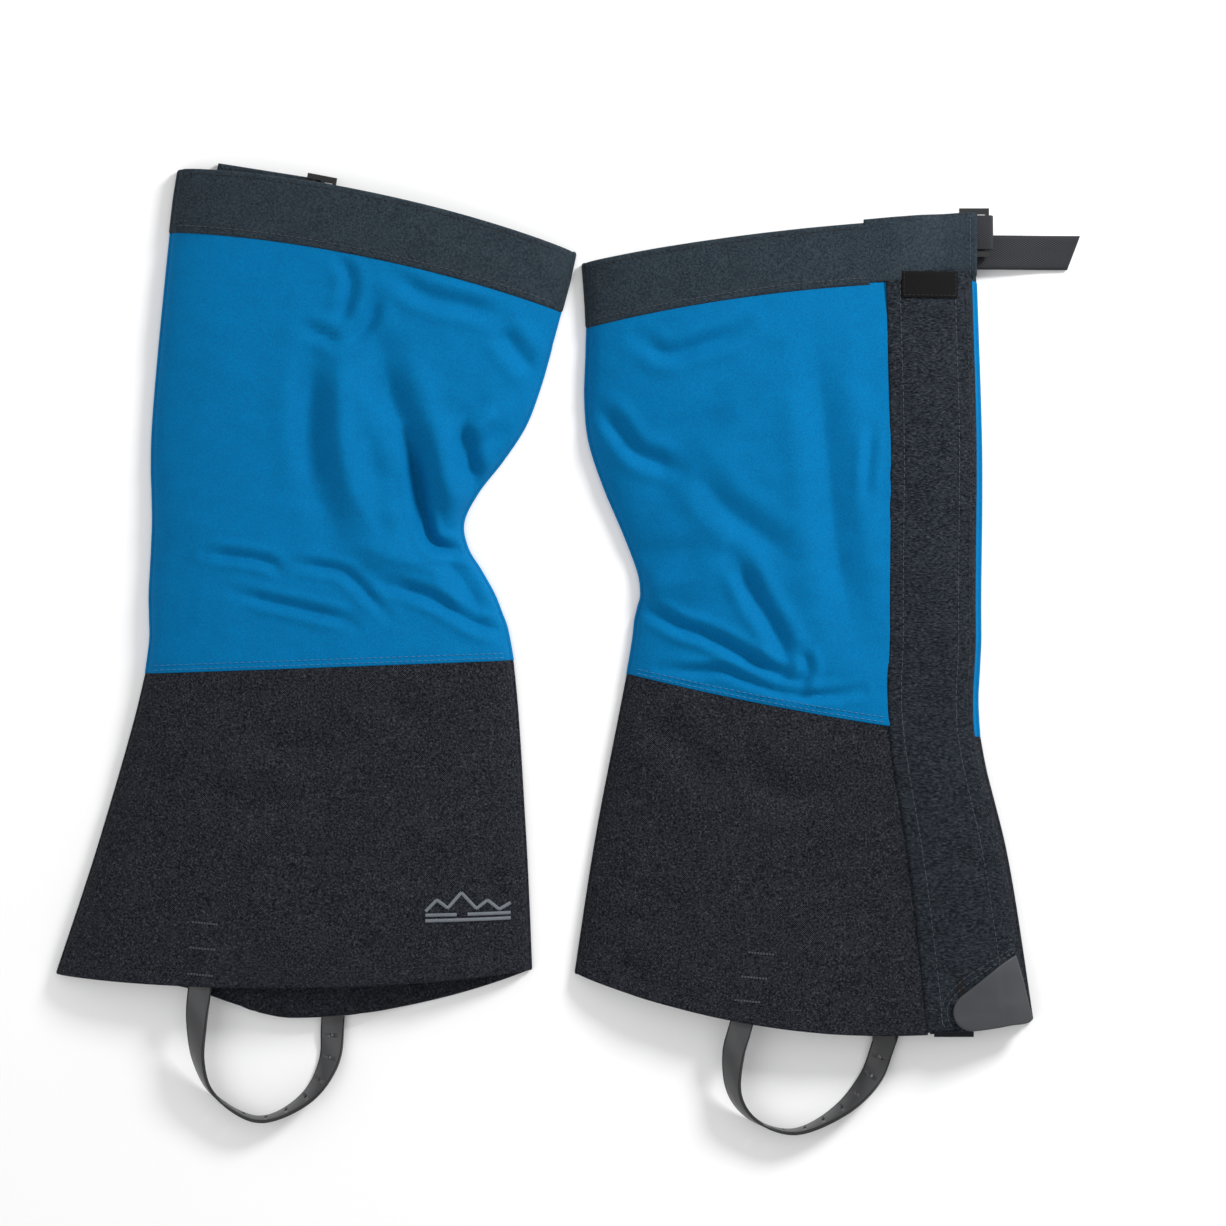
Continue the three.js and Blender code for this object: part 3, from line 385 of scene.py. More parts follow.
BLUE = fabric("blue_laminate", (0.0, 0.128, 0.32), (0.0, 0.165, 0.405), 0.75 * MM, 0.35, 0.80,
              contrast=0.16, specular=0.06)
BLACK = fabric("heavy_black_weave", (0.0015, 0.003, 0.0065), (0.026, 0.029, 0.037), 1.1 * MM, 0.9, 0.85,
               60.0, 0.55, contrast=0.75, specular=0.12, mottling=0.15)
FLAP_BLACK = fabric("flap_black_weave", (0.0015, 0.004, 0.007), (0.025, 0.033, 0.043), 1.05 * MM, 0.9, 0.85,
                    70.0, 0.5, contrast=0.75, specular=0.12, mottling=0.15, grain=(0.5, 1.25, 1.0))
SLATE = fabric("slate_cuff_cloth", (0.012, 0.021, 0.030), (0.038, 0.055, 0.069), 0.95 * MM, 0.8, 0.85,
               80.0, 0.3, contrast=0.7, specular=0.12, mottling=0.2)
LINING = fabric("lining_cloth", (0.012, 0.013, 0.015), (0.02, 0.021, 0.024), 0.6 * MM, 0.4, 0.8)
TAPE = fabric("hook_and_loop", (0.006, 0.006, 0.007), (0.02, 0.02, 0.022), 0.9 * MM, 1.0, 0.95)
WEBBING = ribbed("woven_webbing", (0.001, 0.0012, 0.002), (0.066, 0.068, 0.076), 2.0 * MM, 0.8)
LABEL_CLOTH = ribbed("woven_label", (0.003, 0.0032, 0.004), (0.009, 0.009, 0.010), 0.5 * MM, 0.75)
RUBBER = smooth_skin("rubbery_tab", (0.030, 0.032, 0.038), (0.040, 0.043, 0.050), 0.62, 0.8 * MM, 0.25)
STRAP = smooth_skin("coated_strap", (0.030, 0.0305, 0.033), (0.048, 0.049, 0.052), 0.45, 1.2 * MM, 0.2,
                    coat=0.1)
# Dark glossy material for the strap's edge strips and the hole drill: its dark colour is painted shade on the
# strap's sides and in its holes.
STRAP_EDGE_SHADE = smooth_skin("strap_edge_painted_shade", (0.006, 0.006, 0.007), (0.012, 0.012, 0.013), 0.3, 1.0 * MM, 0.2,
                         coat=0.3)
PLASTIC = smooth_skin("moulded_plastic", (0.006, 0.006, 0.007), (0.011, 0.011, 0.012), 0.42, 0.5 * MM, 0.15)
STEEL = smooth_skin(
    "brushed_steel", (0.42, 0.43, 0.45), (0.55, 0.56, 0.58), 0.33, 0.6 * MM, 0.1, metallic=1.0, scratched=True
)
BLUE_THREAD = smooth_skin("blue_thread", (0.01, 0.13, 0.30), (0.03, 0.20, 0.42), 0.6, 0.4 * MM, 0.4)
BLACK_THREAD = smooth_skin("black_thread", (0.035, 0.038, 0.048), (0.06, 0.064, 0.078), 0.6, 0.4 * MM, 0.4)
DARK_THREAD = smooth_skin("dark_thread", (0.006, 0.006, 0.008), (0.012, 0.012, 0.015), 0.6, 0.4 * MM, 0.4)
GREY_THREAD = smooth_skin("grey_thread", (0.12, 0.135, 0.16), (0.22, 0.24, 0.27), 0.5, 0.5 * MM, 0.5)


# ---- the flattened leg ----------------------------------------------------------------
class Leg:
    """Where a gaiter's cloth lies: shares across (0 left fold, 1 right fold) in three panels."""

    def __init__(self, side):
        self.side = side
        self.above = side == "right"  # the closure is on the upper side
        self.shell = f"{side}_shell"
        self.panels = {}
        for panel in ("lower", "upper", "cuff"):
            end = "" if panel == "cuff" else "_panel"
            outer, inner = f"{side}_{panel}_outer{end}", f"{side}_{panel}_inner{end}"
            over, under = rim_of(outer), rim_of(inner)
            left = over["left"]
            right = under["right"] if self.above else over["right"]
            sags = {}
            for which, rim in (("outer", over), ("inner", under)):
                sags[which] = [self.sag_of(rim[e], left[k], right[k]) for e, k in (("low", 0), ("high", -1))]
            seam = over["right"] if self.above else under["left"]
            self.panels[panel] = dict(left=left, right=right, seam=seam, sags=sags, outer=outer, inner=inner)
        top = box_of(self.panels["upper"]["outer"])[1][2]
        self.fold = (FOLD_HEIGHT, CLOSURE_FOLD_HEIGHT if self.above else FOLD_HEIGHT)
        self.crown = top - (self.fold[0] + self.fold[1]) / 2
        self.below = cad_caster(*(p["inner"] for p in self.panels.values()))
        self.facing = cad_caster(f"{side}_cuff_front_facing")

    @staticmethod
    def sag_of(line, left, right):
        middle = line[len(line) // 2]
        u = (middle[0] - left[0]) / (right[0] - left[0])
        return (lerp(left[1], right[1], u) - middle[1]) / (4 * u * (1 - u))

    def plan(self, panel, u, v, which="outer"):
        """Places in plan for arrays of shares across and along a panel."""
        p = self.panels[panel]
        u, v = np.broadcast_arrays(np.asarray(u, float), np.asarray(v, float))
        left, right = curve_at(p["left"], v), curve_at(p["right"], v)
        out = left + (right - left) * u[..., None]
        sag = lerp(*p["sags"]["outer"], v)
        if which == "inner" and panel == "lower":
            hang = smooth((u - LOWER_HEM_FROM) / (LOWER_HEM_FULL - LOWER_HEM_FROM))
            sag = sag + (p["sags"]["inner"][0] - p["sags"]["outer"][0]) * hang * np.clip(1 - 2 * v, 0, 1)
        out[..., 1] -= sag * 4 * u * (1 - u)
        return out

    def surface(self, u):
        u = np.clip(u, 0, 1)
        dome = np.sqrt(1 - np.abs(2 * u - 1) ** DOME_POWER)
        return lerp(*self.fold, u) + self.crown * dome

    def width(self, panel, v):
        return float(np.linalg.norm(self.plan(panel, 1, v) - self.plan(panel, 0, v)))

    def length(self, panel, u):
        return float(np.linalg.norm(self.plan(panel, u, 1) - self.plan(panel, u, 0)))

    def seam(self, panel, v):
        """The share across where the cloth's sewn edge lies."""
        p = self.panels[panel]
        left, right, at = curve_at(p["left"], v), curve_at(p["right"], v), curve_at(p["seam"], v)
        return (at[..., 0] - left[..., 0]) / (right[..., 0] - left[..., 0])

    def across(self, x, y):
        """The share across at places in plan."""
        x, y = np.broadcast_arrays(np.asarray(x, float), np.asarray(y, float))
        out = np.zeros(x.shape)
        done = np.zeros(x.shape, bool)
        for panel in ("lower", "upper", "cuff"):
            p = self.panels[panel]
            low, high = np.zeros(x.shape), np.ones(x.shape)
            for _ in range(22):
                v = (low + high) / 2
                left, right = curve_at(p["left"], v), curve_at(p["right"], v)
                u = np.clip((x - left[..., 0]) / (right[..., 0] - left[..., 0]), 0, 1)
                sag = lerp(*p["sags"]["outer"], v)
                there = lerp(left[..., 1], right[..., 1], u) - sag * 4 * u * (1 - u)
                low, high = np.where(there < y, v, low), np.where(there < y, high, v)
            out = np.where(done, out, u)
            done |= v < 0.9999
        return out

    def height_at(self, x, y):
        return self.surface(self.across(x, y))


LEGS = {side: Leg(side) for side in ("left", "right")}

# ---- creases --------------------------------------------------------------------------
# Each crease: points as shares of a panel's box, then its depth and width in mm. Below zero it is a ridge.
CREASES = {
    ("left", "upper"): [
        ([(0.570, 0.729), (0.604, 0.615), (0.648, 0.494), (0.665, 0.387), (0.690, 0.305), (0.74, 0.265)],
         3.6, 8.0),
        ([(0.632, 0.54), (0.655, 0.44), (0.672, 0.35), (0.700, 0.290), (0.80, 0.272)], 2.6, 3.4),
        ([(0.474, 0.729), (0.474, 0.551), (0.499, 0.420), (0.570, 0.290)], -3.2, 10.0),
        ([(0.413, 0.713), (0.413, 0.551), (0.430, 0.404)], 2.2, 8.0),
        ([(0.474, 0.941), (0.499, 0.876), (0.474, 0.794)], 1.5, 3.6),
        ([(0.377, 0.779), (0.43, 0.765), (0.474, 0.738)], 1.6, 3.6),
        ([(0.482, 0.738), (0.53, 0.775), (0.552, 0.811), (0.560, 0.843)], 1.8, 4.0),
        ([(0.604, 0.900), (0.648, 0.868), (0.70, 0.845), (0.779, 0.827), (0.858, 0.811)], 1.8, 4.5),
        ([(0.858, 0.779), (0.910, 0.713), (0.944, 0.681)], 1.8, 5.0),
        ([(0.770, 0.567), (0.779, 0.494), (0.797, 0.428)], 2.6, 5.0),
        ([(0.770, 0.542), (0.81, 0.56), (0.858, 0.591)], -1.8, 5.0),
        ([(0.70, 0.55), (0.72, 0.45), (0.77, 0.36)], -2.4, 7.0),
        ([(0.150, 0.269), (0.23, 0.262), (0.299, 0.249), (0.333, 0.226)], 1.4, 3.0),
        ([(0.360, 0.246), (0.465, 0.232), (0.509, 0.205), (0.587, 0.128)], 1.5, 3.0),
        ([(0.221, 0.180), (0.343, 0.153), (0.474, 0.123), (0.509, 0.103)], 1.5, 3.0),
        ([(0.587, 0.200), (0.692, 0.169), (0.797, 0.112), (0.875, 0.091)], 1.9, 3.4),
        ([(0.709, 0.273), (0.779, 0.192), (0.814, 0.118)], 1.8, 5.0),
        ([(0.50, 0.30), (0.63, 0.25), (0.76, 0.27)], -1.6, 8.0),
    ],
    ("right", "upper"): [
        ([(0.169, 0.880), (0.237, 0.845), (0.296, 0.841), (0.364, 0.858), (0.462, 0.879), (0.52, 0.902)],
         1.7, 4.2),
        ([(0.032, 0.718), (0.08, 0.688), (0.159, 0.621), (0.247, 0.594), (0.30, 0.575)], 2.0, 4.5),
        ([(0.755, 0.849), (0.785, 0.641), (0.804, 0.507), (0.833, 0.347), (0.882, 0.212)], 2.0, 9.0),
        ([(0.345, 0.581), (0.462, 0.487), (0.579, 0.427), (0.677, 0.373)], 1.7, 7.0),
        ([(0.491, 0.380), (0.55, 0.293), (0.609, 0.226), (0.647, 0.172), (0.652, 0.125)], 2.4, 4.8),
        ([(0.183, 0.273), (0.296, 0.226), (0.383, 0.206), (0.482, 0.172), (0.56, 0.139), (0.638, 0.112),
          (0.716, 0.082)], 2.2, 3.6),
        ([(0.237, 0.128), (0.364, 0.122), (0.443, 0.125), (0.52, 0.105), (0.609, 0.082), (0.697, 0.065),
          (0.775, 0.066), (0.853, 0.072), (0.902, 0.078)], 1.6, 2.8),
        ([(0.706, 0.172), (0.726, 0.125), (0.692, 0.085)], 1.5, 3.0),
        ([(0.936, 0.668), (0.926, 0.587), (0.917, 0.507)], 0.9, 3.0),
        ([(0.15, 0.31), (0.36, 0.33), (0.45, 0.40)], -1.8, 9.0),
        ([(0.18, 0.50), (0.34, 0.66), (0.50, 0.72)], 1.4, 10.0),
    ],
    ("left", "lower"): [
        ([(0.42, 0.78), (0.52, 0.72), (0.60, 0.76)], 1.6, 9.0),
        ([(0.30, 0.62), (0.42, 0.55), (0.52, 0.60)], 1.4, 9.0),
        ([(0.70, 0.86), (0.80, 0.80)], 1.3, 8.0),
    ],
    ("right", "lower"): [
        ([(0.20, 0.86), (0.30, 0.80), (0.36, 0.70)], 1.5, 9.0),
        ([(0.45, 0.72), (0.62, 0.66), (0.78, 0.70)], 1.5, 9.0),
        ([(0.10, 0.20), (0.22, 0.14)], 1.2, 8.0),
    ],
}


def crease_height(where, line, depth, width):
    """How far a crease moves cloth at places in plan: a groove with a soft shoulder on each side."""
    nearest = np.full(len(where), 1e9)
    along = np.zeros(len(where))
    steps, _ = spaced(curve_at(line, np.linspace(0, 1, 40)), 2 * MM)
    for k in range(len(steps) - 1):
        a, b = steps[k], steps[k + 1]
        t = np.clip(((where - a) @ (b - a)) / max(((b - a) ** 2).sum(), 1e-12), 0, 1)
        gap = np.linalg.norm(where - (a + t[:, None] * (b - a)), axis=1)
        closer = gap < nearest
        nearest[closer] = gap[closer]
        along[closer] = ((k + t) / (len(steps) - 1))[closer]
    taper = smooth(along / 0.25) * smooth((1 - along) / 0.25)
    far = nearest / (width * MM)
    profile = -np.exp(-(far**1.5)) + 0.45 * np.exp(-(((far - 1.9) / 0.9) ** 2))
    return 1.7 * depth * MM * profile * (0.25 + 0.75 * taper) * np.where(nearest < 6 * width * MM, 1, 0)


def fractal(points, size, seed):
    """Smooth noise from -1 to 1 whose lumps are about a size across."""
    offset = Vector((seed * 17.3, seed * 5.1, seed * 2.7))
    return np.array([noise.fractal(Vector(p) / size + offset, 1.0, 2.0, 2) for p in points])


def rumple(leg, panel, where, v=None):
    """Height that folds, slack and puckers add to the upper side at places in plan."""
    height = np.zeros(len(where))
    for line, depth, width in CREASES.get((leg.side, panel), []):
        low, high = box_of(leg.panels[panel]["outer"])
        placed = np.array([[lerp(low[0], high[0], x), lerp(low[1], high[1], y)] for x, y in line])
        height += crease_height(where, placed, depth, width)
    amount = np.full(len(where), 1.5)
    if v is not None:
        height *= smooth(np.minimum(v, 1 - v) / 0.03)
        if panel == "upper":
            amount = lerp(1.5, 0.6, smooth((v - 0.9) / 0.1))
    if panel == "cuff":
        amount[:] = 0.6
    flat = np.column_stack([where, np.zeros(len(where))])
    seed = 1 + (leg.side == "right") * 4
    height += amount * MM * fractal(flat, 65 * MM, seed)
    height += 0.3 * amount * MM * fractal(flat * [1.0, 1.6, 1.0], 22 * MM, seed + 1)
    return height


# ---- shells ---------------------------------------------------------------------------
def turned_under(grid, inward, at_end, radius, depth):
    """Rows beyond a grid's edge: the sheet rolls inward there and runs back behind itself by a depth."""
    back, inner = (grid[::-1], inward[::-1]) if at_end else (grid, inward)
    into = unit((back[2] - back[0]) * [1, 1, 0])
    rows = []
    for turn in np.linspace(0, math.pi, 6)[1:]:
        rows.append(back[0] - into * radius * math.sin(turn) + inner[0] * radius * (1 - math.cos(turn)))
    step = np.median(np.linalg.norm(back[1] - back[0], axis=1))
    last = min(len(back) - 2, int(depth / step))
    for k in np.unique(np.linspace(1, last, 6).astype(int)):
        rows.append(back[k] + inner[k] * radius * 2)
    rows = np.array(rows)
    return rows if at_end else rows[::-1]


def tucked(grid, inward, drop):
    """Rows that carry a sheet's upper edge on beneath its neighbour."""
    out = unit(grid[-1] - grid[-3]) * 5 * MM
    return np.array([grid[-1] + out * t + inward[-1] * drop * min(1, t * 2) for t in (0.3, 0.6, 1.0)])


# A panel's thickness, cloth, mesh cell, rise above its neighbour, and its lower hem's radius and depth.
PANELS = {
    "lower": (BLACK_THICK, BLACK, 2.1 * MM, 0.0, 0.75 * BLACK_THICK, 16 * MM),
    "upper": (BLUE_THICK, BLUE, 1.7 * MM, 0.5 * MM, 0.6 * BLUE_THICK, 8 * MM),
    "cuff": (CUFF_THICK, SLATE, 2.1 * MM, 1.3 * MM, 0.6 * CUFF_THICK, 7 * MM),
}
# A layer's count of points across and how much of the folds it takes.
LAYERS = {"outer": (140, 1.0), "facing": (16, 0.35), "inner": (60, 0.0), "wrap": (14, 0.0)}
SHELLS = {}


def layer(leg, panel, kind, start, end, v):
    """Points of one layer of a panel, from one share across to another."""
    thickness, rise = PANELS[panel][0], PANELS[panel][3]
    t = (1 - np.cos(np.pi * np.linspace(0, 1, LAYERS[kind][0]))) / 2
    u = lerp(start[:, None], end[:, None], t)
    xy = leg.plan(panel, u, v[:, None], "outer" if kind in ("outer", "facing") else "inner")
    if kind == "outer":
        z = leg.surface(u) - thickness / 2 + rise
    elif kind == "facing" and panel != "cuff":
        z = leg.surface(u) - FACING_DEPTH - thickness / 2
    else:
        cast = leg.facing if kind == "facing" else leg.below
        z = np.array([
            [max(cast(x + (0.5 - share) * 3 * MM, y, above=False), 0.0) + thickness / 2
             for (x, y), share in zip(line, shares)]
            for line, shares in zip(xy, u)
        ])
        z[:, 0], z[:, -1] = z[:, 1], z[:, -2]
    return np.dstack([xy, z])


def fold(before, after, way):
    """Points that carry the cloth round the leg's edge from one layer to the next."""
    first, last = before[:, -1], after[:, 0]
    middle, radius = (first + last) / 2, np.abs(first[:, 2] - last[:, 2]) / 2
    up = 1 if first[0, 2] > last[0, 2] else -1
    columns = []
    for turn in np.linspace(0, math.pi, 8)[1:-1]:
        ring = middle.copy()
        ring[:, 0] += way * radius * math.sin(turn) * 1.1
        ring[:, 2] += up * radius * math.cos(turn)
        columns.append(ring)
    return np.stack(columns, 1)


def shell(side, panel):
    """One panel's cloth in one sheet right round the leg, from one side of the closure to the other."""
    leg = LEGS[side]
    thickness, material, cell, _, hem_radius, hem_depth = PANELS[panel]
    v = np.linspace(0, 1, max(10, int(round(leg.length(panel, 0.3) / cell))) + 1)
    seam = leg.seam(panel, v)
    clear = 1.5 * MM / leg.width(panel, 0.5)
    left, right = 0 * v, 1 + 0 * v
    if leg.above:
        spans = [("outer", seam, left), ("inner", left, right), ("facing", right, seam + clear)]
    else:
        spans = [("wrap", seam - clear, left), ("outer", left, right), ("inner", right, seam + clear)]
    one, two, three = (layer(leg, panel, *span, v) for span in spans)
    folds = [fold(one, two, -1), fold(two, three, 1)]
    grid = np.concatenate([one, folds[0], two, folds[1], three], axis=1)
    counts, takes = zip(*(LAYERS[kind] for kind, _, _ in spans))
    bare = folds[0].shape[1]
    mask = np.repeat([takes[0], 0, takes[1], 0, takes[2]], [counts[0], bare, counts[1], bare, counts[2]])
    lift = rumple(leg, panel, grid.reshape(-1, 3)[:, :2], np.repeat(v, grid.shape[1]))
    off_floor = np.clip((grid[..., 2] - FOLD_HEIGHT) / (6 * MM), 0, 1)
    grid[..., 2] += lift.reshape(grid.shape[:2]) * mask * off_floor
    inward = normals(grid)
    centre = len(grid) // 2
    if inward[centre, np.argmax(grid[centre, :, 2]), 2] > 0:
        inward = -inward
    low = turned_under(grid, inward, False, hem_radius, hem_depth)
    if panel == "cuff":
        high = turned_under(grid, inward, True, 0.75 * thickness, 24 * MM)
    else:
        high = tucked(grid, inward, 1.5 * MM if panel == "lower" else 1.8 * MM)
    grid = np.concatenate([low, grid, high])
    grid[..., 2] = np.maximum(grid[..., 2], thickness / 2)
    piece = thick_sheet(f"{side}_{panel}_cloth", grid, thickness, material)
    dress(piece, leg.shell, f"{panel}_fabric", leg.panels[panel]["outer"], leg.panels[panel]["inner"],
          f"{side}_{panel}_front_facing")
    SHELLS[side, panel] = piece


for side in LEGS:
    for panel in PANELS:
        shell(side, panel)


# ---- the closure's flap ---------------------------------------------------------------
def bend_of(side):
    """The bodies on both sides of a flap's hinge, and where the cloth's bend starts and ends."""
    hinge = joint(f"{side}_flap_hinge")
    pivot, out = Vector(hinge["pos_m"]), Vector((abs(hinge["axis"][1]), 0, 0))
    return f"{side}_shell", f"{side}_flap", pivot - out * 2 * MM, pivot + out * 12 * MM


def flap(side):
    leg = LEGS[side]
    root, body = rim_of(f"{side}_flap_root"), rim_of(f"{side}_front_flap")
    v, t = np.linspace(0, 1, 190), np.linspace(0, 1, 30)
    left, right = curve_at(root["left"], v), curve_at(body["right"], v)
    left[:, 0] -= 0.8 * MM
    if leg.above:  # the strip runs on beneath the cuff and down to the hem's edge
        for line, size in ((left, 11 * MM), (right, 11 * MM)):
            line[:, 1] += size * smooth((v - 0.6) / 0.4) - 1.5 * MM * smooth((0.1 - v) / 0.1)
    grid = ruled(left, right, t)
    flat = grid.reshape(-1, 3)
    if leg.above:
        z = leg.height_at(flat[:, 0], flat[:, 1]) + 0.9 * MM - FLAP_THICK / 2
        lift = rumple(leg, "flap", flat[:, :2])
        ripple = fractal(flat * [0.35, 1.0, 1.0], 26 * MM, 11)
        share = np.clip((z - FOLD_HEIGHT) / (6 * MM), 0, 1)
        flat[:, 2] = z + (lift + 0.55 * MM * ripple) * share
        edge = np.minimum(t, 1 - t)
        flat[:, 2] -= np.tile(0.35 * MM * np.exp(-((edge / 0.03) ** 2)), len(v))
        # The stitch lines sit in slight channels.
        for at in (0.17, 0.80):
            flat[:, 2] -= np.tile(0.25 * MM * np.exp(-(((t - at) / 0.03) ** 2)), len(v))
    else:
        cast = cad_caster(f"{side}_flap_root", f"{side}_front_flap")
        inner = grid.copy()
        inner[..., 0] += (0.5 - t)[None, :] * 3 * MM
        inner[..., 1] += (0.5 - v)[:, None] * 3 * MM
        flat[:, 2] = [cast(x, y, above=False) + FLAP_THICK / 2 for x, y in inner.reshape(-1, 3)[:, :2]]
    grid = flat.reshape(grid.shape)
    piece = thick_sheet(f"{side}_flap_cloth", grid, FLAP_THICK, FLAP_BLACK)
    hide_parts(f"{side}_flap_root", f"{side}_front_flap")
    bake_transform(piece)
    return piece, grid


FLAPS = {side: flap(side) for side in LEGS}


# ---- thread ---------------------------------------------------------------------------
def stitches(name, path, material, height, body, length=2.6, gap=0.9, width=0.5):
    """A row of stitches along a path in plan, on whatever is uppermost there. body may be a flap's bend."""
    step = (length + gap) * MM
    path = np.asarray(path, float)
    places, ways = spaced(path, step / 4)
    points, faces = [], []
    half = np.array([-0.5, -0.32, 0.0, 0.32, 0.5])
    swell = np.array([0.25, 0.85, 1.0, 0.85, 0.25])
    for k in range(2, len(places) - 2, 4):
        at, way = places[k], ways[k]
        if min(height(*(at + way * s * length * MM)) for s in (-0.6, 0.0, 0.6)) < MM:
            continue
        across = np.array([-way[1], way[0]])
        start = len(points)
        for h, s in zip(half, swell):
            x, y = at + way * h * length * MM
            z = height(x, y) + (0.06 + 0.16 * s) * MM
            for turn in range(6):
                a = math.pi / 3 * turn
                side_way = math.cos(a) * width / 2 * s * MM
                points.append((x + across[0] * side_way, y + across[1] * side_way,
                               z + math.sin(a) * width * 0.42 * s * MM))
        faces += [tuple(start + i for i in f) for f in grid_faces(5, 6, closed=True)]
        faces += [tuple(start + i for i in range(6)), tuple(start + 24 + i for i in range(6))]
    piece = new_object(name, points, faces, material)
    if isinstance(body, tuple):
        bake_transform(piece)
    else:
        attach(piece, body)


# A row's name, its panel, mm above the panel's lower edge or, below zero, under its upper edge, and thread.
ROWS = (
    ("ankle_stitches_1", "upper", 1.9, BLUE_THREAD, 0.5),
    ("ankle_stitches_2", "upper", 5.2, BLUE_THREAD, 0.5),
    ("cuff_stitches", "cuff", 2.4, BLACK_THREAD, 0.42),
    ("cuff_top_stitches", "cuff", -2.6, DARK_THREAD, 0.4),
    ("hem_stitches", "lower", 14.0, DARK_THREAD, 0.4),
)
for side, leg in LEGS.items():
    height = caster(*(SHELLS[side, panel] for panel in PANELS))
    for name, panel, above, thread, width in ROWS:
        v = (above < 0) + above * MM / leg.length(panel, 0.4)
        stop = float(leg.seam(panel, v)) if leg.above else 1.0
        path = leg.plan(panel, np.linspace(0.015, stop - 0.0075, 90), v)
        stitches(f"{side}_{name}", path, thread, height, leg.shell, width=width)

right_flap, flap_grid = FLAPS["right"]
on_flap = caster(right_flap)
for name, share, thread in (("tape", 0.16, BLACK_THREAD), ("tape_far", 0.80, BLACK_THREAD),
                            ("edge", 0.93, DARK_THREAD)):
    at = share * (flap_grid.shape[1] - 1)
    path = lerp(flap_grid[2:-2, int(at), :2], flap_grid[2:-2, int(at) + 1, :2], at % 1)
    stitches(f"right_flap_{name}_stitches", path, thread, on_flap, bend_of("right"),
             width=0.45)


# ---- cuff ends, webbing and label -----------------------------------------------------
def sleeve(side):
    """The cuff's doubled end: a flat tube of cuff cloth that covers the cam buckle."""
    leg = LEGS[side]
    rim = rim_of(f"{side}_cuff_end")
    cast = cad_caster(f"{side}_cuff_end")
    v, t = np.linspace(0, 1, 26), np.linspace(0, 1, 34)
    left, right = curve_at(rim["left"], v), curve_at(rim["right"], v)
    if leg.above:
        left[:, 0] -= 3.5 * MM
        left[:, 1] -= 3.5 * MM * v
    grid = ruled(left, right, t)
    thick = 1.5 * MM
    line = np.array([cast(*(grid[13, i, :2] + (grid[13, 17, :2] - grid[13, i, :2]) * 0.06), above=leg.above)
                     for i in range(len(t))])
    line = np.convolve(np.pad(line, 2, mode="edge"), np.ones(5) / 5, "valid")
    if leg.above:
        crown = 1 - np.abs(2 * v - 1) ** 3.5
        grid[..., 2] = line[None, :] - 1.6 * MM + 2.2 * MM * crown[:, None]
        flat = grid.reshape(-1, 3)
        grid[..., 2] += (0.4 * MM * fractal(flat, 20 * MM, 23)).reshape(grid.shape[:2])
        under = leg.height_at(flat[:, 0], flat[:, 1]).reshape(grid.shape[:2])
        near = smooth((t - 0.45) / 0.3)[None, :]
        joined = smooth(t / 0.28)[None, :]  # the cuff runs on into its end without a step
        grid[..., 2] = np.maximum(grid[..., 2], lerp(under + 1.6 * MM, grid[..., 2], near))
        grid[..., 2] = lerp(np.minimum(grid[..., 2], under + 0.42 * MM), grid[..., 2], joined)
    else:
        grid[..., 2] = thick / 2
    normal = np.zeros(grid.shape)
    normal[..., 2] = -1.0 if leg.above else 1.0
    grid = np.concatenate([turned_under(grid, normal, False, 1.0 * MM, 6 * MM), grid,
                           turned_under(grid, normal, True, 1.0 * MM, 6 * MM)])
    grid[..., 2] = np.maximum(grid[..., 2], thick / 2)
    piece = thick_sheet(f"{side}_cuff_end_cloth", grid, thick, SLATE)
    dress(piece, leg.shell, "cuff_fabric", f"{side}_cuff_end")
    return piece, grid


def webbing_run(side, name):
    """A CAD webbing's points, the ways it is pulled and is wide, and each point's place along both."""
    points = np.array([v.co for v in frame["nodes"][name].data.vertices])
    pull = np.array(joint(f"{side}_cuff_strap_pull")["axis"])
    wide_way = np.cross([0, 0, 1], pull)
    return points, pull, wide_way, points @ pull, points @ wide_way


def anchor_webbing(side):
    """Webbing round the buckle's bar, from behind it to its face."""
    name = f"{side}_buckle_anchor_loop"
    points, pull, wide_way, s, w = webbing_run(side, name)
    half = np.ptp(w) / 2 * wide_way
    middle = (w.max() + w.min()) / 2
    low, high = points[:, 2].min(), points[:, 2].max()
    thick = 1.3 * MM
    radius = (high - low - thick) / 2
    turn_at = s.max() - radius * 0.75
    route = [(a, low + thick / 2) for a in np.linspace(s.min() - 4 * MM, turn_at, 6)]
    route += [(turn_at + radius * 0.75 * math.sin(a), low + thick / 2 + radius * (1 - math.cos(a)))
              for a in np.linspace(0.2, math.pi - 0.2, 12)]
    route += [(a, high - thick / 2) for a in np.linspace(turn_at, s.min() - 4 * MM, 6)]
    at = np.array([pull * a + wide_way * middle + np.array([0, 0, z]) for a, z in route])
    thicks = np.cross(unit(np.gradient(at, axis=0)), wide_way) * thick / 2
    piece = swept(name + "_webbing", at, [half] * len(at), thicks, WEBBING)
    dress(piece, f"{side}_shell", "webbing", name)


def strap_tail(side):
    """The cuff's webbing: out past the buckle, with a slanted sealed end, settling towards the floor."""
    name = f"{side}_cuff_strap"
    points, pull, wide_way, s, w = webbing_run(side, name)
    z = points[:, 2].mean()
    top, low = s[w > w.mean()].max(), s[w < w.mean()].max()
    v, t = np.linspace(0, 1, 10), np.linspace(0, 1, 60)
    grid = np.zeros((len(v), len(t), 3))
    beyond = s.max() - 62 * MM  # where the webbing leaves the buckle
    for j, k in enumerate(v):
        end = lerp(low, top, k)
        run = lerp(s.min(), end, t)
        down = smooth((run - beyond) / (s.max() - beyond)) if LEGS[side].above else 0 * run
        wave = 0.8 * MM * np.sin((run - beyond) / (9.5 * MM)) * down * (1 - down) * 2
        rise = z - down * (z - 1.5 * MM) + wave
        side_way = lerp(w.min(), w.max(), k)
        grid[j] = pull * run[:, None] + wide_way * side_way
        grid[j, :, 2] = rise - 0.35 * MM * abs(2 * k - 1) ** 8
    piece = thick_sheet(name + "_webbing", grid, 1.25 * MM, WEBBING)
    dress(piece, f"{side}_cuff_strap", "webbing", name)


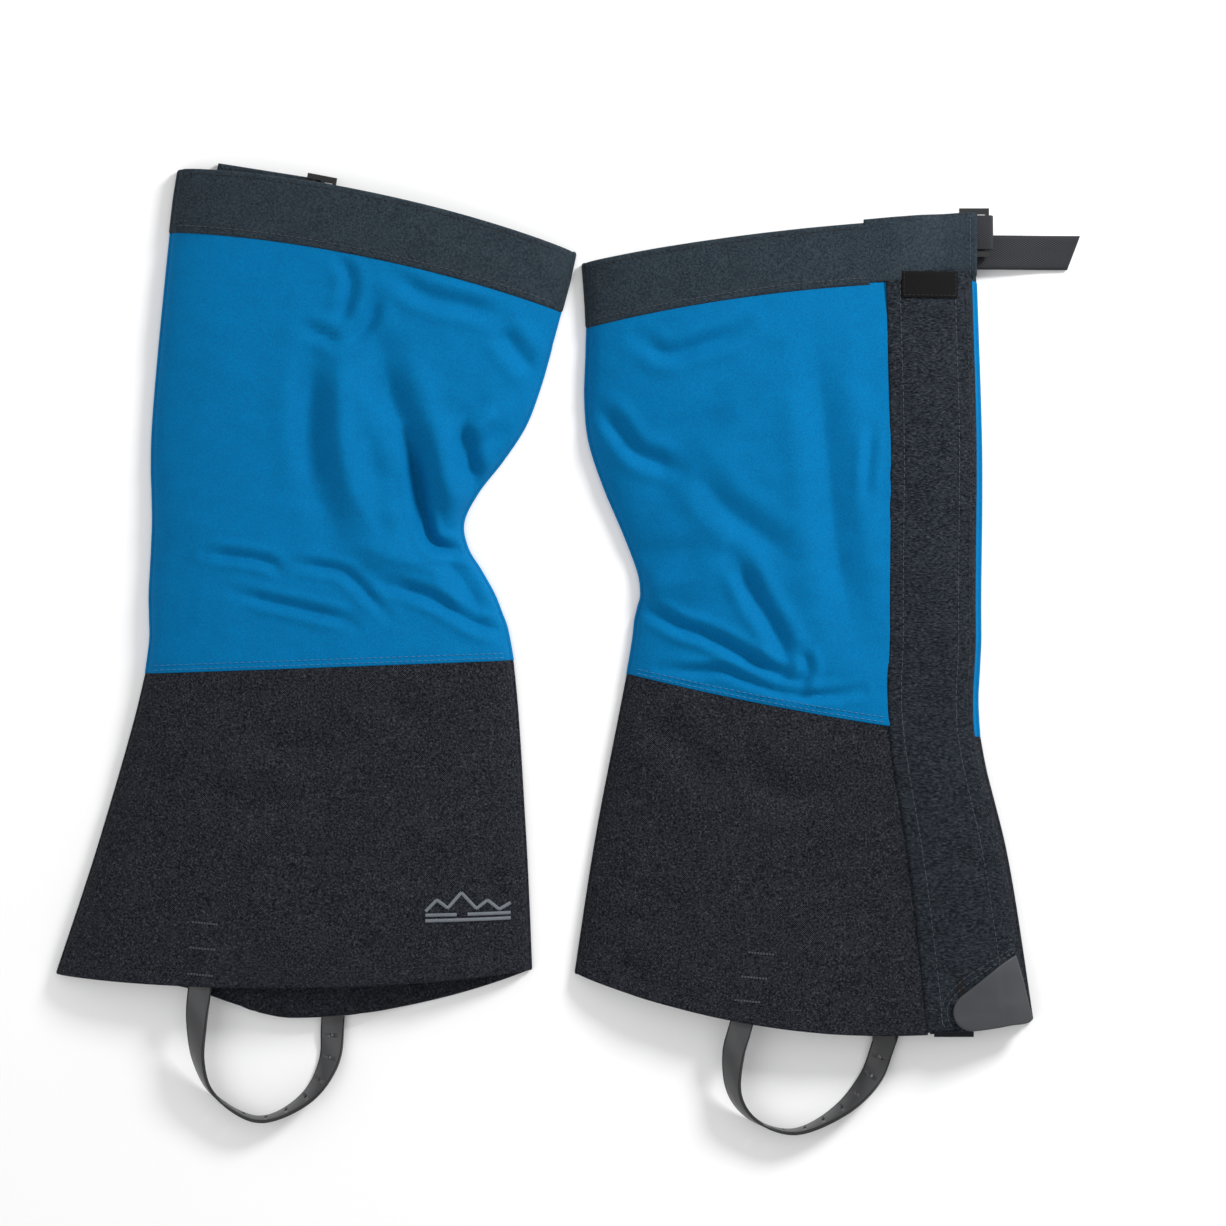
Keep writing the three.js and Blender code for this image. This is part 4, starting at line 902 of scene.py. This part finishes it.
SLEEVES = {}
for side in LEGS:
    SLEEVES[side] = sleeve(side)
    anchor_webbing(side)
    strap_tail(side)

on_sleeve = caster(SLEEVES["right"][0])
rows = SLEEVES["right"][1][..., :2]
for name, path, thread, width in (("low", rows[9, 2:-2], DARK_THREAD, 0.4),
                                  ("high", rows[-10, 2:-2], DARK_THREAD, 0.4),
                                  ("end", rows[9:-9, -3], BLACK_THREAD, 0.42)):
    stitches(f"right_sleeve_{name}_stitches", path, thread, on_sleeve, "right_shell",
             width=width)


def label():
    """A plain woven label hanging on the flap from under the cuff."""
    low, high = box_of("right_cuff_end")
    x0, x1 = high[0] - 42.5 * MM, high[0] - 11.0 * MM
    top = low[1] + 5.5 * MM
    v, t = np.linspace(0, 1, 12), np.linspace(0, 1, 26)
    grid = np.zeros((len(v), len(t), 3))
    for j, k in enumerate(v):
        for i, m in enumerate(t):
            x, y = lerp(x0, x1, m), lerp(top - 14.5 * MM, top, k)
            grid[j, i] = (x, y, on_flap(x, y) + 0.5 * MM + 0.25 * MM * (1 - k) * math.sin(3 * m))
    piece = thick_sheet("right_label", grid, 0.6 * MM, LABEL_CLOTH)
    dress(piece, "right_flap", "webbing")
    inset = 1.2 * MM
    path = [(x0 + inset, top), (x0 + inset, top - 14.5 * MM + inset), (x1 - inset, top - 14.5 * MM + inset),
            (x1 - inset, top)]
    stitches("right_label_stitches", path, DARK_THREAD, caster(piece), "right_flap", length=1.6,
             width=0.35)


label()


# ---- pull tabs ------------------------------------------------------------------------
def outline_mesh(name, outline, height, thick, material):
    """A flat cut shape with softened edges that follows a height."""
    ring = spaced(np.vstack([outline, outline[:1]]), 1.2 * MM)[0][:-1]
    centre = ring.mean(0)
    points = []
    edge = ((0.0, 0.18), (0.25 * thick, 0.40), (0.7 * thick, 0.5))  # inset and rise round the edge
    shares = np.linspace(0.04, 0.96, 9)
    stack = [(k, 0.7 * thick, -0.5) for k in shares]
    stack += [(1.0, inset, -rise) for inset, rise in edge[::-1]]
    stack += [(1.0, inset, rise) for inset, rise in edge]
    stack += [(k, 0.7 * thick, 0.5) for k in shares[::-1]]
    for scale, inset, rise in stack:
        for p in ring:
            away = p - centre
            size = np.linalg.norm(away)
            q = centre + away * scale * max(0.0, 1 - inset / size)
            points.append((q[0], q[1], height(q[0], q[1]) + rise * thick))
    n = len(ring)
    faces = grid_faces(len(stack), n, closed=True)
    faces += [tuple(range(n)), tuple(range(len(points) - n, len(points)))]
    return new_object(name, points, faces, material)


def tab(side):
    leg = LEGS[side]
    node = f"{side}_pull_tab"
    low, high = box_of(node)
    thick = 1.5 * MM if leg.above else min(1.5 * MM, high[2] - low[2])
    # Shares of the tab's box: the free corner at the top right, round to the blunt inner end.
    shape = [(0.87, 0.99), (0.70, 0.86), (0.50, 0.66), (0.31, 0.46), (0.16, 0.30), (0.10, 0.17), (0.09, 0.04),
             (0.13, -0.10), (0.21, -0.19), (0.32, -0.23), (0.55, -0.20), (0.80, -0.15), (1.06, -0.09),
             (1.03, 0.20), (0.96, 0.60)]
    if not leg.above:
        shape = [(x, 0.36 + 0.64 * y) for x, y in shape]  # it stays behind the hem, which is lower here
    outline = curve_at([(lerp(low[0], high[0], x), lerp(low[1], high[1], y)) for x, y in shape],
                       np.linspace(0, 1, 90))
    if leg.above:
        def height(x, y):
            inner = min(x, high[0] - 3 * MM)
            slope = max(0.0, x - inner) * 0.5
            return on_flap(inner, max(y, low[1] - 3 * MM), fallback=10 * MM) + 0.75 * MM + thick / 2 - slope
    else:
        def height(x, y):
            return thick / 2
    piece = outline_mesh(f"{side}_tab_sheet", outline, height, thick, RUBBER)
    dress(piece, f"{side}_tab", "rubber_tab", node)
    if leg.above:
        # The doubled curve that sews the tab's backing to the flap.
        for n, grow in enumerate((3.2 * MM, 6.6 * MM)):
            arc = outline[2:70]
            path = arc + unit(arc - outline.mean(0)) * grow
            stitches(f"right_tab_stitches_{n + 1}", path, BLACK_THREAD, on_flap, "right_flap",
                     length=2.2, width=0.42)


for side in LEGS:
    tab(side)


# ---- instep straps --------------------------------------------------------------------
def stations_of(node, near):
    """A CAD band's stations, from the end nearest a point: centres, and half width and half thickness."""
    bm = bmesh.new()
    bm.from_mesh(frame["nodes"][node].data)
    bmesh.ops.remove_doubles(bm, verts=bm.verts, dist=1e-6)
    bm.verts.ensure_lookup_table()
    near = Vector(near)
    ring = sorted(bm.verts, key=lambda v: (v.co - near).length)[:4]
    seen, rings = set(ring), [ring]
    while True:
        following = {e.other_vert(v) for v in rings[-1] for e in v.link_edges} - seen
        if not following:
            break
        seen |= following
        rings.append(list(following))
    first = [np.array(v.co) for v in rings[0]]
    a, b, d, c = sorted(first, key=lambda p: np.linalg.norm(p - first[0]))
    out = [np.array([a, b, c, d])]  # short side, then long side
    for ring in rings[1:]:
        points = np.array([v.co for v in ring])
        moved = out[-1] + points.mean(0) - out[-1].mean(0)
        left, placed = list(range(4)), []
        for c in moved:
            k = min(left, key=lambda i: np.linalg.norm(points[i] - c))
            left.remove(k)
            placed.append(points[k])
        out.append(np.array(placed))
    bm.free()
    out = np.array(out)
    centre = out.mean(1)
    thick = ((out[:, 0] + out[:, 3]) - (out[:, 1] + out[:, 2])) / 4
    wide = ((out[:, 0] + out[:, 1]) - (out[:, 3] + out[:, 2])) / 4
    return centre, wide, thick


def steepened(centre, wide, thick, share):
    """Turns a band's stations so that it stands steeper on its edge than a plain half turn would make it."""
    way = unit(np.gradient(centre, axis=0))
    wide, thick = unit(wide), unit(thick)
    for k, s in enumerate(share):
        turns = [Matrix.Rotation(sign * 0.55 * math.sin(math.tau * s), 3, Vector(way[k])) for sign in (1, -1)]
        turned = [(np.array(m @ Vector(wide[k])), np.array(m @ Vector(thick[k]))) for m in turns]
        wide[k], thick[k] = max(turned, key=lambda pair: abs(pair[0][2]) * (1 if 0.03 < s < 0.97 else 0))
    for k in range(1, len(share)):
        if wide[k] @ wide[k - 1] < 0:
            wide[k], thick[k] = -wide[k], -thick[k]
    return wide, thick


def drill_holes(piece, centre, wide, thick):
    """Eight round holes along a band, towards its buckle."""
    points, faces = [], []
    for at in np.linspace(0.42, 0.95, 8):
        k = int(at * (len(centre) - 1))
        along, across = unit(np.cross(wide[k], thick[k])), unit(wide[k])
        start = len(points)
        for sign in (-2.5, 2.5):
            for turn in range(16):
                a = math.pi / 8 * turn
                edge = (along * math.cos(a) + across * math.sin(a)) * 1.05 * MM
                points.append(centre[k] + thick[k] * sign + edge)
        faces += [tuple(start + i for i in f) for f in grid_faces(2, 16, closed=True)]
        faces += [tuple(start + i for i in reversed(range(16))), tuple(start + 16 + i for i in range(16))]
    # The drill carries the dark edge material, painted shade meant for the holes' walls.
    drill = new_object("drill", points, faces, STRAP_EDGE_SHADE, shaded=False)
    bore = piece.modifiers.new("holes", "BOOLEAN")
    bore.object, bore.operation, bore.solver = drill, "DIFFERENCE", "EXACT"
    bpy.context.view_layer.update()
    solid = bpy.data.meshes.new_from_object(piece.evaluated_get(bpy.context.evaluated_depsgraph_get()))
    piece.modifiers.clear()
    piece.data = solid
    bpy.data.objects.remove(drill)


def instep(side):
    """The strap under the boot, with its holes and glossy dark strips along its edges, whose dark colour is
    painted shade on the strap's sides.
    """
    node = body = f"{side}_instep_strap"
    share = np.linspace(0, 1, 150)
    stations = stations_of(node, joint(f"{side}_instep_strap_swing")["pos_m"])
    centre, wide, thick = (curve_at(line, share) for line in stations)
    wide, thick = steepened(centre, wide, thick, share)
    half_wide = 6.3 * MM
    wide, thick = wide * half_wide, thick * 0.95 * MM
    centre[:, 2] = np.maximum(centre[:, 2], np.abs(wide[:, 2]) + np.abs(thick[:, 2]))
    # Both ends run on behind the hems.
    before, after = unit(centre[0] - centre[3]) * 7 * MM, unit(centre[-1] - centre[-4]) * 7 * MM
    before[2], after[2] = -0.4 * MM, 0
    centre = np.vstack([centre[0] + before, centre[0] + before / 2, centre[1:-1], centre[-1] + after / 2,
                        centre[-1] + after])
    ends = [0, *range(len(wide)), -1]
    wide, thick = wide[ends], thick[ends]
    piece = swept(f"{side}_instep_band", centre, wide, thick, STRAP, rounding=0.45)
    drill_holes(piece, centre, wide, thick)
    dress(piece, body, "instep_strap", node)
    # Thin dark strips along both edges: painted shade on the strap's sides.
    for sign, end in ((1, "a"), (-1, "b")):
        edge = swept(f"{side}_instep_edge_{end}", centre + wide * sign * 0.985, wide * 0.035, thick * 0.86,
                     STRAP_EDGE_SHADE, rounding=0.3)
        dress(edge, body, "instep_strap")


def sewn_end(side):
    """The strap's sewn end, which lies behind the outer panel, and the bar tacks that show there."""
    leg = LEGS[side]
    sewn = rim_of(f"{side}_instep_strap_sewn_end")
    v, t = np.linspace(0, 1, 22), np.linspace(0, 1, 7)
    grid = ruled(curve_at(sewn["left"], v), curve_at(sewn["right"], v), t)
    flat = grid.reshape(-1, 3)
    z = leg.height_at(flat[:, 0], flat[:, 1]) + rumple(leg, "lower", flat[:, :2])
    grid[..., 2] = (z - BLACK_THICK - 1.3 * MM).reshape(grid.shape[:2])
    band = thick_sheet(f"{side}_instep_sewn_band", grid, 1.8 * MM, STRAP)
    dress(band, leg.shell, "instep_strap", f"{side}_instep_strap_sewn_end")
    height = caster(SHELLS[side, "lower"])
    half = np.array([7.6, -0.7]) * MM
    for n, at in enumerate((0.14, 0.47, 0.79) if side == "left" else (0.26, 0.555, 0.86)):
        middle = lerp(grid[0, 3, :2], grid[-1, 3, :2], at)
        for k, off in enumerate((-0.35, 0.0, 0.35)):
            across = middle + np.array([0, off]) * MM
            stitches(f"{side}_bar_tack_{n + 1}_{k + 1}", [across - half, across + half], BLACK_THREAD, height,
                     leg.shell, length=1.5, gap=0.15, width=0.42)


for side in LEGS:
    instep(side)
    sewn_end(side)


# ---- emblem ---------------------------------------------------------------------------
def emblem():
    """A plain range of peaks in satin stitch on the left gaiter."""
    low, high = box_of("left_lower_outer_panel")
    height = caster(SHELLS["left", "lower"])
    x0, y0 = lerp(low[0], high[0], 0.784), lerp(low[1], high[1], 0.20)
    wide, tall = 46.5 * MM, 15.5 * MM
    lines = [[(0.0, 0.35), (0.13, 0.75), (0.26, 0.45), (0.42, 1.0), (0.60, 0.42), (0.73, 0.72), (0.87, 0.38),
              (1.0, 0.60)],
             [(0.0, 0.0), (1.0, 0.06)], [(0.0, 0.2), (0.36, 0.215)], [(0.5, 0.225), (1.0, 0.25)]]
    points, faces = [], []
    for line in lines:
        path = np.array([(x0 + wide * x, y0 + tall * y) for x, y in line])
        for at, way in zip(*spaced(path, 0.5 * MM)):
            across = np.array([-way[1], way[0]]) * 0.95 * MM
            start = len(points)
            for h in (-1.0, -0.5, 0.0, 0.5, 1.0):
                x, y = at + across * h
                z = height(x, y) + 0.55 * MM * math.sqrt(max(0.0, 1 - (h * 0.93) ** 2))
                for turn in range(5):
                    a = math.tau / 5 * turn
                    points.append((x + way[0] * 0.26 * MM * math.cos(a), y + way[1] * 0.26 * MM * math.cos(a),
                                   z + 0.24 * MM * math.sin(a)))
            faces += [tuple(start + i for i in f) for f in grid_faces(5, 5, closed=True)]
            faces += [tuple(start + i for i in range(5)), tuple(start + 20 + i for i in range(5))]
    piece = new_object("left_emblem", points, faces, GREY_THREAD)
    dress(piece, "left_shell", "lower_fabric")


emblem()


# ---- what shows of the CAD ------------------------------------------------------------
FINISHES = {
    "buckle_frame": PLASTIC, "cam_lever": PLASTIC, "instep_buckle": STEEL, "tongue": STEEL, "rivet": STEEL,
    "lace_hook": STEEL, "hook_tape": TAPE, "loop_tape": TAPE, "tab_patch": TAPE, "strap_tip": STRAP,
    "keeper": RUBBER, "buckle_tab": LINING, "hook_tab": LINING,
}
for name, node in frame["nodes"].items():
    found = [m for key, m in FINISHES.items() if key in name]
    node.data.materials.clear()
    node.data.materials.append(found[-1] if found else LINING)


# ---- light and camera -----------------------------------------------------------------
def floor():
    low, high = CAD_BOX
    cx, cy, reach = (low[0] + high[0]) / 2, (low[1] + high[1]) / 2, 3.0
    points = [(cx + reach * x, cy + reach * y, 0) for x, y in ((-1, -1), (1, -1), (1, 1), (-1, 1))]
    look = Look("pale_floor")
    tone = look.mix(look.noise(14.0, 4.0), (0.96, 0.96, 0.965, 1), (0.98, 0.98, 0.98, 1))
    material = look.finish(Base_Color=tone, Roughness=0.9)
    piece = new_object("floor", points, [(0, 1, 2, 3)], material, shaded=False)
    if piece.data.polygons[0].normal.z < 0:
        piece.data.flip_normals()


def lamp(name, place, size, power):
    """A round lamp that looks at the middle of the floor."""
    light = bpy.data.lights.new(name, "AREA")
    light.shape, light.size, light.energy = "DISK", size, power
    holder = bpy.data.objects.new(name, light)
    holder.location = place
    holder.rotation_euler = (-Vector(place)).to_track_quat("-Z", "Y").to_euler()
    bpy.context.scene.collection.objects.link(holder)


floor()
scene = bpy.context.scene
world = bpy.data.worlds.new("studio")
world.use_nodes = True
feed(world.node_tree.nodes["Background"], Color=(1, 1, 1, 1), Strength=0.67)
scene.world = world
lamp("key", (1.0, 0.9, 0.75), 0.4, 21.0)
lamp("fill", (-0.9, -0.2, 1.3), 1.2, 3.0)
scene.view_settings.view_transform = "Standard"
scene.view_settings.look = "None"

camera = bpy.data.cameras.new("above")
camera.sensor_width = 36.0
camera.lens = 36.0 * 2.0 / 0.6866
eye = bpy.data.objects.new("above", camera)
eye.location = (0.0241, 0.0207, 2.0)
scene.collection.objects.link(eye)
scene.camera = eye
